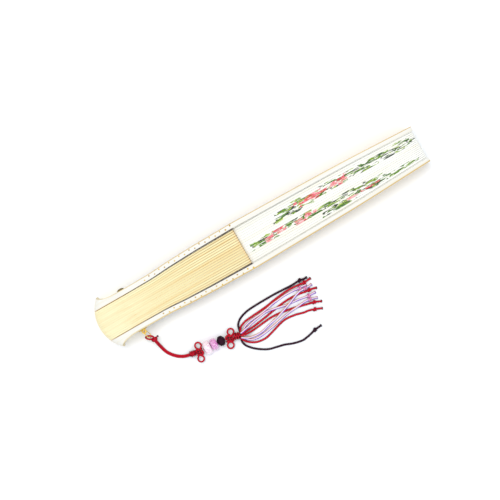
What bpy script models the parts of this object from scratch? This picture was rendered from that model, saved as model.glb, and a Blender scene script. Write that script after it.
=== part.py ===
"""A folding paper hand fan with a knotted tassel, closed and lying on its edge.

Sixteen thin bamboo ribs and two guards turn on one brass rivet. A pleated paper leaf joins their
far ends: one tent of paper rides on each rib's narrow slip. A doubled cord hangs from the rivet's
eye by a wire link, and carries two clover knots, three beads and ten loose strands.

Metres, +Z up, +X along the closed fan from its head to its tip, Y along the rivet. The origin is
under the middle of the fan, on the surface that it lies on.
"""

import math

import bmesh
import bpy
from mathutils import Vector

# Reach of the sticks from the rivet's axis
HEAD_REACH = 0.0225
HEAD_CORNER_REACH = 0.0150
NECK_REACH = 0.0220
SHOULDER_REACH = 0.0800
TIP_REACH = 0.2076

# Ribs: the handle's blade, and the slip that the paper hides
RIB_COUNT = 16
RIB_PITCH_AT_RIVET = 0.00126
RIB_PITCH_AT_SHOULDER = 0.00152
RIB_PITCH_AT_TIP = 0.00112
RIB_GAP = 0.00025
RIB_HEAD_HALF_WIDTH = 0.0086
RIB_NECK_HALF_WIDTH = 0.0057
RIB_SHOULDER_HALF_WIDTH = 0.0051
SLIP_THICKNESS = 0.00035
SLIP_ROOT_HALF_WIDTH = 0.0018
SLIP_TIP_HALF_WIDTH = 0.0011
SLIP_END_REACH = 0.2000
SHOULDER_STEP = 0.0004

# Guards: the two thick outer sticks
GUARD_THICKNESS_AT_RIVET = 0.0035
GUARD_THICKNESS_AT_SHOULDER = 0.0033
GUARD_THICKNESS_AT_TIP = 0.0028
GUARD_HEAD_HALF_WIDTH = 0.0090
GUARD_NECK_HALF_WIDTH = 0.0064
GUARD_SHOULDER_HALF_WIDTH = 0.0072
GUARD_EDGE_ROUND = 0.0004
HEAD_FLARE_HALF = 0.0175
END_PLEAT_ROOM = 0.0006

# Paper leaf
PLEAT_ANGLE_DEG = 4.85
PAPER_THICKNESS = 0.00018
PLEAT_GAP = 0.0001
PLEAT_CREST = 0.00028
END_PLEAT_WIDTH = 0.00046
LEAF_CLEARANCE = 0.0006
GLUE_GAP = 0.00004

# Rivet, washer, cap and the eye that the tassel hangs from
PIN_RADIUS = 0.0012
BORE_CLEARANCE = 0.0003
WASHER_RADIUS = 0.0030
WASHER_THICKNESS = 0.0004
WASHER_GAP = 0.00015
EYE_BASE_RADIUS = 0.0021
EYE_BASE_THICKNESS = 0.00035
EYE_RADIUS = 0.0015
EYE_HOLE_RADIUS = 0.0008
EYE_THICKNESS = 0.0007
EYE_STAND_OFF = 0.00085
CAP_RADIUS = 0.0024
CAP_HEIGHT = 0.0012
CAP_WALL = 0.0004

# Wire link
LINK_WIRE_RADIUS = 0.0003
LINK_LENGTH = 0.0058
LINK_HALF_WIDTH = 0.0018
LINK_DROP_DEG = 20.0
LINK_YAW_DEG = 20.0

# Cords, knots and beads of the tassel
CORD_DIAMETER = 0.0012
STRAND_DIAMETER = 0.00115
HANGER_HALF_SPACING = 0.00075
TIE_RADIUS = 0.0011
TIE_FROM_END = 0.0052
CORD_GAP = 0.0003
HITCH_LENGTH = 0.0020
HITCH_HALF_WIDTH = 0.0024
HITCH_HALF_HEIGHT = 0.0014
HITCH_STUB_LENGTH = 0.0016
HITCH_BORE_RADIUS = 0.00085
COLLAR_1_LENGTH = 0.0028
COLLAR_1_RADIUS = 0.0021
COLLAR_2_LENGTH = 0.0034
COLLAR_2_RADIUS = 0.0027
COLLAR_RIDGE = 0.0002
KNOT_LENGTH = 0.0046
KNOT_WIDTH = 0.0054
KNOT_HEIGHT = 0.0030
KNOT_ROUND = 0.0009
KNOT_LOOP_RADIUS = 0.0019
KNOT_LOOP_CORD_RADIUS = 0.0006
BEAD_BORE_RADIUS = 0.0009
BEAD_1_LENGTH = 0.0041
BEAD_1_RADIUS = 0.00435
BEAD_2_LENGTH = 0.0043
BEAD_2_RADIUS = 0.0036
BALL_LENGTH = 0.0049
BALL_RADIUS = 0.0034

# How far round each outline has gone at a share of its way
PITCH_RISE_SHARES = ((0.0, 0.0), (0.225, 0.08), (0.45, 0.56), (0.7, 0.86), (1.0, 1.0))
PITCH_FALL_SHARES = ((0.0, 0.0), (0.31, 0.175), (0.49, 0.29), (1.0, 1.0))
FLARE_SHARES = ((0.0, 0.0), (0.3, 0.03), (0.6, 0.19), (0.87, 0.54), (1.0, 1.0))
HEAD_SWELL_SHARES = ((0.0, 0.35), (0.25, 0.78), (0.45, 1.0), (0.82, 1.0), (0.93, 0.75), (1.0, 0.1))
NECK_SWELL_SHARES = ((0.0, 0.35), (0.5, 0.09), (1.0, 0.0))
TIP_WIDTH_SHARES = ((0.0, 0.0), (0.5, 0.6), (0.9, 1.0), (0.985, 1.0), (1.0, 0.55))
HEAD_STATION_SHARES = (1.0, 0.93, 0.82, 0.45, 0.25)
NECK_STATION_SHARES = (0.0, 0.5, 1.0)
HANDLE_STATION_SHARES = (0.45, 0.7)
LEAF_STATION_SHARES = (0.16, 0.31, 0.49, 0.68, 0.84)
GUARD_TIP_STATION_SHARES = (0.9, 0.985, 1.0)
SLIP_STATION_SHARES = (0.5, 1.0)
PLEAT_STATION_SHARES = (0.0, 0.16, 0.31, 0.49, 0.68, 0.84, 1.0)
CREST_SHARE = 0.5
BEAD_1_SHARES = ((0.42, 1.0), (0.80, 0.90), (0.97, 0.55), (1.0, 0.0))
BEAD_2_SHARES = ((0.50, 1.0), (0.84, 0.86), (0.98, 0.45), (1.0, 0.0))
BALL_SHARES = ((0.48, 1.0), (0.78, 0.84), (0.95, 0.48), (1.0, 0.0))

# Places of the tassel's pieces, and the points that its cords pass through
MM = 0.001
BEAD_AXIS_START_MM = (-63.2, -43.6, 4.40)
BEAD_AXIS_END_MM = (-53.9, -44.3, 3.90)
BEAD_2_PLACE_SHARE = 0.48
KNOT_1_MM = (-68.45, -43.15, 4.0)
KNOT_1_AIM_MM = (5.0, -0.5, 1.1)
KNOT_2_MM = (-47.9, -45.3, 3.2)
KNOT_2_AIM_MM = (5.0, -1.6, -0.6)
COLLAR_1_MM = (-72.9, -42.45, 3.0)
COLLAR_1_AIM_MM = (5.0, -0.8, 1.2)
COLLAR_2_MM = (-43.35, -46.7, 2.75)
COLLAR_2_AIM_MM = (5.0, -1.9, 0.0)
HITCH_MM = (-89.6, -24.4, 5.7)
HITCH_AIM_MM = (0.6, -2.4, -1.6)
KNOT_LOOP_OFFSETS_MM = ((0.8, 3.8, -0.5), (-1.4, -3.9, -0.7))
HANGER_ROUTE_MM = (
    (-89.3, -25.8, 4.75), (-88.9, -27.3, 3.6), (-88.3, -29.4, 2.1), (-87.5, -31.8, 1.0),
    (-86.2, -34.6, 0.65), (-83.6, -37.8, 0.65), (-80.6, -40.3, 0.7), (-77.8, -41.6, 1.25),
    (-75.0, -42.15, 2.3),
)
HITCH_LOOP_MM = (
    (-90.4, -23.3, 6.5), (-91.9, -23.3, 6.7), (-93.0, -22.2, 7.0), (-92.7, -20.6, 7.35),
    (-91.1, -19.75, 7.45), (-89.4, -20.1, 7.25), (-88.5, -21.5, 6.9), (-88.95, -23.05, 6.45),
)
STRAND_ROUTES_MM = {
    "strand_plum_upper": (
        (-40.7, -46.9, 0.85), (-40.4, -44.9, 0.62), (-40.0, -42.8, 0.6), (-38.9, -40.4, 0.6),
        (-36.2, -38.2, 0.6), (-33.0, -36.9, 0.6), (-28.5, -36.0, 0.6), (-20.0, -35.6, 0.6),
        (-10.0, -35.5, 0.6), (-3.0, -35.8, 0.6), (2.5, -36.0, 0.6), (7.6, -35.7, 1.1),
        (10.0, -36.2, 0.7), (12.8, -36.3, 0.6),
    ),
    "strand_red_upper": (
        (-40.2, -45.4, 2.1), (-39.5, -44.1, 1.8), (-38.3, -42.8, 0.9), (-36.2, -41.9, 0.62),
        (-34.0, -41.2, 0.6), (-28.0, -40.6, 0.6), (-19.6, -39.9, 0.6), (-13.4, -38.9, 0.6),
        (-7.1, -38.0, 0.6), (-0.9, -37.5, 0.6), (5.0, -37.8, 0.6), (9.6, -38.3, 1.1),
        (12.0, -38.2, 0.7), (14.6, -37.9, 0.6),
    ),
    "strand_pale_upper": (
        (-40.75, -47.0, 2.05), (-39.1, -46.3, 2.05), (-37.4, -45.0, 1.4), (-35.6, -43.8, 0.7),
        (-33.0, -43.0, 0.6), (-28.5, -42.3, 0.6), (-24.5, -41.9, 0.6), (-19.7, -41.3, 0.6),
        (-14.7, -40.4, 0.6), (-8.8, -39.6, 0.6), (-3.0, -39.2, 0.6), (1.6, -39.5, 0.6),
        (5.0, -39.9, 1.1), (8.0, -39.9, 0.7), (10.2, -40.2, 0.6),
    ),
    "strand_pale_over": (
        (-40.5, -46.4, 3.35), (-38.5, -46.0, 3.2), (-36.2, -45.5, 2.1), (-34.0, -45.1, 1.0),
        (-31.5, -44.4, 0.6), (-26.0, -43.4, 0.6), (-21.3, -42.7, 0.6), (-18.2, -42.8, 0.8),
        (-15.8, -43.2, 1.7), (-13.3, -43.7, 1.9), (-10.8, -44.3, 1.7), (-8.0, -44.9, 0.9),
        (-4.8, -45.3, 0.6), (0.2, -45.8, 0.6), (4.2, -46.4, 0.6), (8.0, -46.9, 1.1),
        (10.4, -47.0, 0.7), (12.9, -47.1, 0.6),
    ),
    "strand_red_middle": (
        (-41.0, -47.6, 3.35), (-38.8, -47.2, 3.3), (-36.6, -47.0, 2.3), (-34.2, -46.9, 1.0),
        (-31.0, -46.6, 0.6), (-26.0, -45.9, 0.6), (-21.4, -45.2, 0.6), (-17.7, -44.5, 0.6),
        (-13.3, -43.75, 0.6), (-9.3, -43.1, 0.6), (-3.0, -42.6, 0.6), (3.2, -43.0, 0.6),
        (7.2, -43.7, 0.6), (10.4, -44.0, 1.1), (12.9, -44.5, 0.7), (15.0, -45.2, 0.6),
    ),
    "strand_red_crossed": (
        (-41.0, -47.6, 4.6), (-38.6, -48.2, 4.4), (-36.2, -48.5, 3.3), (-33.6, -48.6, 1.7),
        (-30.8, -48.4, 0.75), (-28.0, -48.1, 0.6), (-21.5, -47.4, 0.6), (-18.0, -47.2, 0.6),
        (-14.0, -47.4, 0.6), (-10.2, -48.0, 0.6), (-7.3, -48.4, 0.6), (-3.2, -49.2, 0.6),
        (1.0, -50.3, 0.6), (5.1, -51.3, 0.6), (8.8, -52.1, 1.1), (11.2, -53.1, 0.7),
        (13.6, -54.1, 0.6),
    ),
    "strand_pale_crossing": (
        (-41.5, -48.8, 3.35), (-39.7, -50.1, 3.2), (-37.6, -51.2, 2.3), (-35.0, -51.9, 1.1),
        (-32.0, -52.4, 0.6), (-29.0, -52.3, 0.6), (-26.1, -51.7, 0.6), (-19.9, -50.1, 0.6),
        (-16.4, -49.2, 0.8), (-13.9, -48.4, 1.7), (-11.6, -47.7, 1.9), (-8.1, -46.5, 1.6),
        (-4.7, -45.2, 1.9), (-1.5, -43.9, 1.7), (0.9, -42.9, 1.9), (3.2, -42.1, 1.7),
        (5.4, -41.7, 0.9), (8.2, -41.75, 1.1), (11.0, -41.8, 0.7), (13.2, -41.6, 0.6),
    ),
    "strand_pale_lower": (
        (-41.25, -48.2, 2.05), (-40.0, -50.0, 1.95), (-38.6, -51.7, 1.3), (-36.6, -53.2, 0.7),
        (-34.0, -54.0, 0.6), (-30.8, -54.2, 0.6), (-24.9, -53.4, 0.6), (-18.2, -52.1, 0.6),
        (-12.4, -50.9, 0.6), (-8.4, -50.2, 0.8), (-5.4, -49.8, 1.6), (-2.0, -49.5, 1.9),
        (1.3, -49.2, 1.7), (4.0, -49.1, 0.8), (7.4, -49.3, 1.1), (9.9, -49.9, 0.7),
        (12.3, -50.6, 0.6),
    ),
    "strand_red_lower": (
        (-41.8, -49.4, 2.05), (-40.9, -51.2, 2.0), (-39.8, -52.8, 1.1), (-37.8, -54.5, 0.62),
        (-35.3, -55.9, 0.6), (-32.5, -56.7, 0.6), (-28.3, -56.9, 0.6), (-23.3, -55.7, 0.6),
        (-16.6, -53.6, 0.6), (-11.6, -52.7, 0.6), (-5.4, -53.3, 0.6), (0.0, -54.7, 0.6),
        (3.6, -55.2, 0.6), (7.4, -56.4, 1.1), (9.6, -57.3, 0.7), (11.8, -58.2, 0.6),
    ),
    "strand_plum_lower": (
        (-41.3, -48.3, 0.85), (-42.2, -50.5, 0.6), (-42.3, -52.5, 0.6), (-41.1, -55.4, 0.6),
        (-38.0, -58.8, 0.6), (-34.5, -61.5, 0.6), (-30.2, -63.9, 0.6), (-25.2, -65.2, 0.6),
        (-20.2, -66.4, 0.6), (-15.3, -68.3, 0.6), (-9.4, -69.6, 0.6), (-5.3, -69.2, 0.6),
        (-2.2, -68.5, 0.6), (0.8, -67.6, 1.1), (3.2, -67.4, 0.7), (5.8, -67.1, 0.6),
    ),
}

# Counts of sides and steps
BORE_SIDES = 12
TURNED_STEPS = 16
BEAD_STEPS = 16
DOME_STEPS = 4
RIDGE_COUNT = 3
RIDGE_STEPS = 4
LINK_ARC_STEPS = 8
LOOP_SIDES = 14
LOOP_CORD_SIDES = 6
ROUTE_FINENESS = 12
ROUTE_STEP_DIAMETERS = 2.9
CUT_OVERRUN = 0.001
LOOP_STEP_SHARE = 0.75
BORE_MARGIN_SHARE = 0.5
TIE_SWELL_SHARES = ((-1.0, 0.1), (-0.6, 0.8), (0.0, 1.0), (0.6, 0.8), (1.0, 0.1))
STUB_SINK_SHARE = 0.25
STUB_RISE_SHARE = 0.5

# Places worked out from the sizes above
RIVET_X = (HEAD_REACH - TIP_REACH) / 2
RIVET_Z = GUARD_HEAD_HALF_WIDTH
HEAD_CURVE_RADIUS = (
    HEAD_FLARE_HALF**2 + (HEAD_REACH - HEAD_CORNER_REACH) ** 2
) / (2 * (HEAD_REACH - HEAD_CORNER_REACH))
BORE_RADIUS = PIN_RADIUS + BORE_CLEARANCE
PLEAT_HALF_ANGLE = math.radians(PLEAT_ANGLE_DEG) / 2
LEAF_START = SHOULDER_REACH + LEAF_CLEARANCE
LEAF_END = TIP_REACH - LEAF_CLEARANCE


def clear_scene():
    """Remove whatever the scene holds."""
    for obj in list(bpy.data.objects):
        bpy.data.objects.remove(obj, do_unlink=True)


def new_collection(name):
    collection = bpy.data.collections.new(name)
    bpy.context.scene.collection.children.link(collection)
    return collection


clear_scene()
PARTS = new_collection("paper_hand_fan")
CUTTERS = new_collection("cutters")


def new_material(name, colour, roughness, metallic=0.0):
    material = bpy.data.materials.new(name)
    material.use_nodes = True
    shader = material.node_tree.nodes["Principled BSDF"]
    shader.inputs["Base Color"].default_value = (*colour, 1.0)
    shader.inputs["Roughness"].default_value = roughness
    shader.inputs["Metallic"].default_value = metallic
    return material


BAMBOO = new_material("bamboo", (0.87, 0.76, 0.46), 0.45)
PALE_BAMBOO = new_material("pale_bamboo", (0.93, 0.90, 0.80), 0.4)
PAPER = new_material("printed_paper", (0.90, 0.89, 0.84), 0.8)
BRASS = new_material("brass", (0.80, 0.60, 0.20), 0.3, 1.0)
RED_CORD = new_material("red_cord", (0.55, 0.01, 0.05), 0.6)
PALE_CORD = new_material("pale_cord", (0.85, 0.72, 0.78), 0.6)
PLUM_CORD = new_material("plum_cord", (0.10, 0.02, 0.12), 0.6)
PINK_BEAD = new_material("pink_bead", (0.86, 0.62, 0.70), 0.15)
ORCHID_BEAD = new_material("orchid_bead", (0.60, 0.25, 0.50), 0.15)


def smooth_value(table, place):
    """The table's value at a place, on a curve that is smooth through its points."""
    if place <= table[0][0]:
        return table[0][1]
    if place >= table[-1][0]:
        return table[-1][1]
    slopes = [(b[1] - a[1]) / (b[0] - a[0]) for a, b in zip(table, table[1:])]
    k = max(n for n, point in enumerate(table[:-1]) if point[0] <= place)
    steer = []
    for n in (k, k + 1):
        before = slopes[max(n - 1, 0)]
        after = slopes[min(n, len(slopes) - 1)]
        # The gentler neighbour steers, and a turning point is level, so that nothing overshoots
        steer.append(0.0 if before * after <= 0 else min(before, after, key=abs))
    (x0, y0), (x1, y1) = table[k], table[k + 1]
    span = x1 - x0
    t = (place - x0) / span
    return (
        y0 * (1 + 2 * t) * (1 - t) ** 2
        + y1 * t * t * (3 - 2 * t)
        + span * steer[0] * t * (1 - t) ** 2
        + span * steer[1] * t * t * (t - 1)
    )


def blend(start, end, share):
    return start + (end - start) * share


def leaf_share(reach):
    """Share of the way from the shoulder to the tip."""
    return (reach - SHOULDER_REACH) / (TIP_REACH - SHOULDER_REACH)


def rib_pitch(reach):
    """Spacing of the sticks, which bow apart at the shoulder and close again at the tip."""
    if reach <= SHOULDER_REACH:
        share = smooth_value(PITCH_RISE_SHARES, reach / SHOULDER_REACH)
        return blend(RIB_PITCH_AT_RIVET, RIB_PITCH_AT_SHOULDER, share)
    share = smooth_value(PITCH_FALL_SHARES, leaf_share(reach))
    return blend(RIB_PITCH_AT_SHOULDER, RIB_PITCH_AT_TIP, share)


def rib_layer(index, reach):
    """Y of the middle of a rib, counted from 1 beside the near guard."""
    return (index - (RIB_COUNT + 1) / 2) * rib_pitch(reach)


def head_end(y):
    """Distance from the rivet to the head's end, which is one arc across the whole stack."""
    return HEAD_REACH - HEAD_CURVE_RADIUS + math.sqrt(HEAD_CURVE_RADIUS**2 - y * y)


def guard_inner(reach):
    """Distance of a guard's inner face from the middle of the stack."""
    opening = max(0.0, min(1.0, reach / SHOULDER_REACH))
    return RIB_COUNT / 2 * rib_pitch(reach) + blend(RIB_GAP, END_PLEAT_ROOM, opening)


def guard_outer(reach):
    """Distance of a guard's outer face from the middle, which flares towards the head's corners."""
    if reach < 0:
        plain = guard_inner(0) + GUARD_THICKNESS_AT_RIVET
        return blend(plain, HEAD_FLARE_HALF, smooth_value(FLARE_SHARES, -reach / HEAD_REACH))
    if reach <= SHOULDER_REACH:
        share = reach / SHOULDER_REACH
        return guard_inner(reach) + blend(
            GUARD_THICKNESS_AT_RIVET, GUARD_THICKNESS_AT_SHOULDER, share
        )
    return guard_inner(reach) + blend(
        GUARD_THICKNESS_AT_SHOULDER, GUARD_THICKNESS_AT_TIP, leaf_share(reach)
    )


def handle_half_width(reach, head, neck, shoulder):
    """Half the height of a stick's handle: a wide head, a waist, and a wider shoulder."""
    if reach < 0:
        return blend(neck, head, smooth_value(HEAD_SWELL_SHARES, -reach / HEAD_REACH))
    if reach < NECK_REACH:
        return blend(neck, head, smooth_value(NECK_SWELL_SHARES, reach / NECK_REACH))
    share = (reach - NECK_REACH) / (SHOULDER_REACH - NECK_REACH)
    return blend(neck, shoulder, share)


def guard_half_width(reach):
    if reach <= SHOULDER_REACH:
        return handle_half_width(
            reach, GUARD_HEAD_HALF_WIDTH, GUARD_NECK_HALF_WIDTH, GUARD_SHOULDER_HALF_WIDTH
        )
    # The tip is as wide as the head, so the closed fan lies level on its edge
    share = smooth_value(TIP_WIDTH_SHARES, leaf_share(reach))
    return blend(GUARD_SHOULDER_HALF_WIDTH, GUARD_HEAD_HALF_WIDTH, share)


def rib_half_width(reach):
    if reach <= SHOULDER_REACH - SHOULDER_STEP:
        return handle_half_width(
            reach, RIB_HEAD_HALF_WIDTH, RIB_NECK_HALF_WIDTH, RIB_SHOULDER_HALF_WIDTH
        )
    share = (reach - SHOULDER_REACH) / (SLIP_END_REACH - SHOULDER_REACH)
    return blend(SLIP_ROOT_HALF_WIDTH, SLIP_TIP_HALF_WIDTH, share)


def rib_half_thickness(reach):
    if reach <= SHOULDER_REACH - SHOULDER_STEP:
        return (rib_pitch(reach) - RIB_GAP) / 2
    return SLIP_THICKNESS / 2


def head_x(reach, y):
    """X of a point, with the head's stations drawn up to its curved end."""
    return reach if reach >= 0 else reach / HEAD_REACH * head_end(y)


def handle_stations():
    """Reaches of the cross-sections from the head's end to just short of the shoulder."""
    stations = [-share * HEAD_REACH for share in HEAD_STATION_SHARES]
    stations += [share * NECK_REACH for share in NECK_STATION_SHARES]
    stations += [share * SHOULDER_REACH for share in HANDLE_STATION_SHARES]
    return stations


def leaf_reaches(shares):
    return [blend(SHOULDER_REACH, TIP_REACH, share) for share in shares]


def finish_mesh(bm, name, material, collection=PARTS, smooth=True):
    """Turn a bmesh into an object in the collection."""
    mesh = bpy.data.meshes.new(name)
    bm.to_mesh(mesh)
    bm.free()
    if smooth:
        mesh.shade_smooth()
        mesh.set_sharp_from_angle(angle=math.radians(30))
    mesh.materials.append(material)
    obj = bpy.data.objects.new(name, mesh)
    collection.objects.link(obj)
    return obj


def shaped_bar(name, stations, rows, shape, material):
    """A box cut across at each station and into rows, with each corner moved by shape."""
    bm = bmesh.new()
    bmesh.ops.create_cube(bm, size=1.0)
    first, span = stations[0], stations[-1] - stations[0]
    cuts = [((s - first) / span - 0.5, 0.0, (1, 0, 0)) for s in stations[1:-1]]
    cuts += [(0.0, row / rows - 0.5, (0, 1, 0)) for row in range(1, rows)]
    for x, y, normal in cuts:
        bmesh.ops.bisect_plane(
            bm,
            geom=bm.verts[:] + bm.edges[:] + bm.faces[:],
            plane_co=(x, y, 0.0),
            plane_no=normal,
        )
    for vert in bm.verts:
        reach = first + (vert.co.x + 0.5) * span
        vert.co = shape(reach, 2 * vert.co.y, 2 * vert.co.z)
    bmesh.ops.recalc_face_normals(bm, faces=bm.faces)
    return finish_mesh(bm, name, material)


def add_bevel(obj, width, segments):
    bevel = obj.modifiers.new("rounded_edges", "BEVEL")
    bevel.width = width
    bevel.segments = segments
    bevel.limit_method = "ANGLE"
    bevel.angle_limit = math.radians(40)


def add_boolean(obj, other, operation):
    boolean = obj.modifiers.new(operation.lower(), "BOOLEAN")
    boolean.operation = operation
    boolean.object = other
    boolean.solver = "EXACT"


def as_cutter(obj):
    """Hide an object that only shapes another."""
    for collection in list(obj.users_collection):
        collection.objects.unlink(obj)
    CUTTERS.objects.link(obj)
    obj.hide_render = True
    obj.display_type = "WIRE"
    return obj


def cylinder(name, radius, start, end, sides, material=BRASS):
    """A solid cylinder between two points."""
    axis = Vector(end) - Vector(start)
    bm = bmesh.new()
    bmesh.ops.create_cone(
        bm, cap_ends=True, segments=sides, radius1=radius, radius2=radius, depth=axis.length
    )
    turn = axis.to_track_quat("Z", "Y").to_matrix()
    bmesh.ops.rotate(bm, cent=(0, 0, 0), matrix=turn, verts=bm.verts)
    bmesh.ops.translate(bm, vec=(Vector(start) + Vector(end)) / 2, verts=bm.verts)
    return finish_mesh(bm, name, material)


def turned(name, profile, steps, material, closed=False):
    """A profile of (radius, height) points turned about Z, running down its outer side."""
    mesh = bpy.data.meshes.new(name)
    points = [(radius, 0.0, height) for radius, height in profile]
    edges = [(n, n + 1) for n in range(len(points) - 1)]
    if closed:
        edges.append((len(points) - 1, 0))
    mesh.from_pydata(points, edges, [])
    mesh.materials.append(material)
    obj = bpy.data.objects.new(name, mesh)
    PARTS.objects.link(obj)
    screw = obj.modifiers.new("turned", "SCREW")
    screw.axis = "Z"
    screw.steps = steps
    screw.render_steps = steps
    screw.use_merge_vertices = True
    screw.merge_threshold = PAPER_THICKNESS / 10
    screw.use_smooth_shade = True
    return obj


def aim(obj, place, direction):
    """Stand a turned piece's Z axis along a direction at a place."""
    obj.location = place
    obj.rotation_mode = "QUATERNION"
    obj.rotation_quaternion = Vector(direction).to_track_quat("Z", "Y")


def smooth_route(route, step, marks=()):
    """Points at even steps along a smooth curve through the route, and at each mark from its end."""
    ends = [2 * route[0] - route[1]] + list(route) + [2 * route[-1] - route[-2]]
    fine = []
    for a, b, c, d in zip(ends, ends[1:], ends[2:], ends[3:]):
        for n in range(ROUTE_FINENESS):
            t = n / ROUTE_FINENESS
            fine.append(
                b
                + (c - a) * (t / 2)
                + (2 * a - 5 * b + 4 * c - d) * (t * t / 2)
                + (3 * b - a - 3 * c + d) * (t**3 / 2)
            )
    fine.append(route[-1])
    lengths = [0.0]
    for a, b in zip(fine, fine[1:]):
        lengths.append(lengths[-1] + (b - a).length)
    total = lengths[-1]
    count = max(2, round(total / step))
    places = {total * n / count for n in range(count + 1)}
    if marks:
        low, high = total - max(marks) - step / 2, total - min(marks) + step / 2
        places = {place for place in places if not low < place < high}
        places |= {total - mark for mark in marks}
    points = []
    for place in sorted(places):
        k = max(n for n, length in enumerate(lengths[:-1]) if length <= place + 1e-12)
        t = (place - lengths[k]) / (lengths[k + 1] - lengths[k])
        points.append((fine[k].lerp(fine[k + 1], t), total - place))
    return points


def tube(name, points, diameter, material, parent=None, radii=None, closed=False):
    """A round tube along the points, with closed ends."""
    curve = bpy.data.curves.new(name, "CURVE")
    curve.dimensions = "3D"
    curve.bevel_depth = diameter / 2
    curve.bevel_resolution = 2
    curve.use_fill_caps = not closed
    spline = curve.splines.new("POLY")
    spline.points.add(len(points) - 1)
    spline.use_cyclic_u = closed
    for n, (target, point) in enumerate(zip(spline.points, points)):
        target.co = (*point, 1.0)
        target.radius = radii[n] if radii else 1.0
    curve.materials.append(material)
    obj = bpy.data.objects.new(name, curve)
    PARTS.objects.link(obj)
    obj.parent = parent
    return obj


def make_ribs(fan_pivot, bore_cutter):
    """The sixteen thin sticks, each a shaped blade with a narrow slip beyond its shoulder."""
    stations = handle_stations() + [SHOULDER_REACH - SHOULDER_STEP, SHOULDER_REACH]
    stations += [
        blend(SHOULDER_REACH, SLIP_END_REACH, share) for share in SLIP_STATION_SHARES
    ]
    for index in range(1, RIB_COUNT + 1):

        def rib_point(reach, side_y, side_z, index=index):
            y = rib_layer(index, reach) + side_y * rib_half_thickness(reach)
            return head_x(reach, y), y, side_z * rib_half_width(reach)

        rib = shaped_bar(f"rib_{index:02d}", stations, 1, rib_point, BAMBOO)
        rib.parent = fan_pivot
        add_boolean(rib, bore_cutter, "DIFFERENCE")


def make_guards(fan_pivot, bore_cutter):
    """The two thick outer sticks, flared at the head and drawn in at the tip."""
    stations = handle_stations() + [SHOULDER_REACH]
    stations += leaf_reaches(LEAF_STATION_SHARES + GUARD_TIP_STATION_SHARES)
    for name, side in (("near_guard", -1), ("far_guard", 1)):

        def guard_point(reach, across, side_z, side=side):
            depth = (across + 1) / 2
            y = blend(guard_inner(reach), guard_outer(reach), depth)
            return head_x(reach, y), side * y, side_z * guard_half_width(reach)

        guard = shaped_bar(name, stations, 2, guard_point, PALE_BAMBOO)
        guard.parent = fan_pivot
        add_bevel(guard, GUARD_EDGE_ROUND, 2)
        add_boolean(guard, bore_cutter, "DIFFERENCE")


def folded_strip(name, reaches, columns, place, fan_pivot):
    """A sheet of paper from a grid, each column of it placed by its own rule, then thickened."""
    bm = bmesh.new()
    bmesh.ops.create_grid(
        bm, x_segments=len(reaches) - 1, y_segments=len(columns) - 1, size=0.5
    )
    for vert in bm.verts:
        reach = reaches[round((vert.co.x + 0.5) * (len(reaches) - 1))]
        column = columns[round((vert.co.y + 0.5) * (len(columns) - 1))]
        vert.co = place(reach, column)
    sheet = finish_mesh(bm, name, PAPER)
    sheet.parent = fan_pivot
    paper = sheet.modifiers.new("paper", "SOLIDIFY")
    paper.thickness = PAPER_THICKNESS
    paper.offset = -1.0
    paper.use_even_offset = True
    return sheet


def pleat_columns(half):
    """(offset across, side of the fold, drop from the crest) of the tent's columns."""
    return (
        (-half, -1, 0.0),
        (-half, 1, PLEAT_CREST),
        (-half * CREST_SHARE, 1, 0.0),
        (half * CREST_SHARE, 1, 0.0),
        (half, 1, PLEAT_CREST),
        (half, -1, 0.0),
    )


def make_leaf(fan_pivot):
    """Seventeen tents of folded paper and the last panel, which is glued to the far guard."""
    reaches = [blend(LEAF_START, LEAF_END, share) for share in PLEAT_STATION_SHARES]
    for index in range(RIB_COUNT + 1):

        def tent_point(reach, column, index=index):
            across, side, drop = column
            if index:
                half = (rib_pitch(reach) - PLEAT_GAP) / 2
                y = rib_layer(index, reach) + across * half
            else:
                middle = guard_inner(reach) - GLUE_GAP - END_PLEAT_WIDTH / 2
                y = across * END_PLEAT_WIDTH / 2 - middle
            radius = reach - drop * side
            return (
                reach * math.cos(PLEAT_HALF_ANGLE),
                y,
                side * (radius * math.sin(PLEAT_HALF_ANGLE)) - drop,
            )

        folded_strip(f"pleat_{index:02d}", reaches, pleat_columns(1), tent_point, fan_pivot)

    def panel_point(reach, side):
        y = guard_inner(reach) - GLUE_GAP - PAPER_THICKNESS
        return reach * math.cos(PLEAT_HALF_ANGLE), y, side * reach * math.sin(PLEAT_HALF_ANGLE)

    folded_strip("end_panel", reaches, (1, -1), panel_point, fan_pivot)


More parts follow.
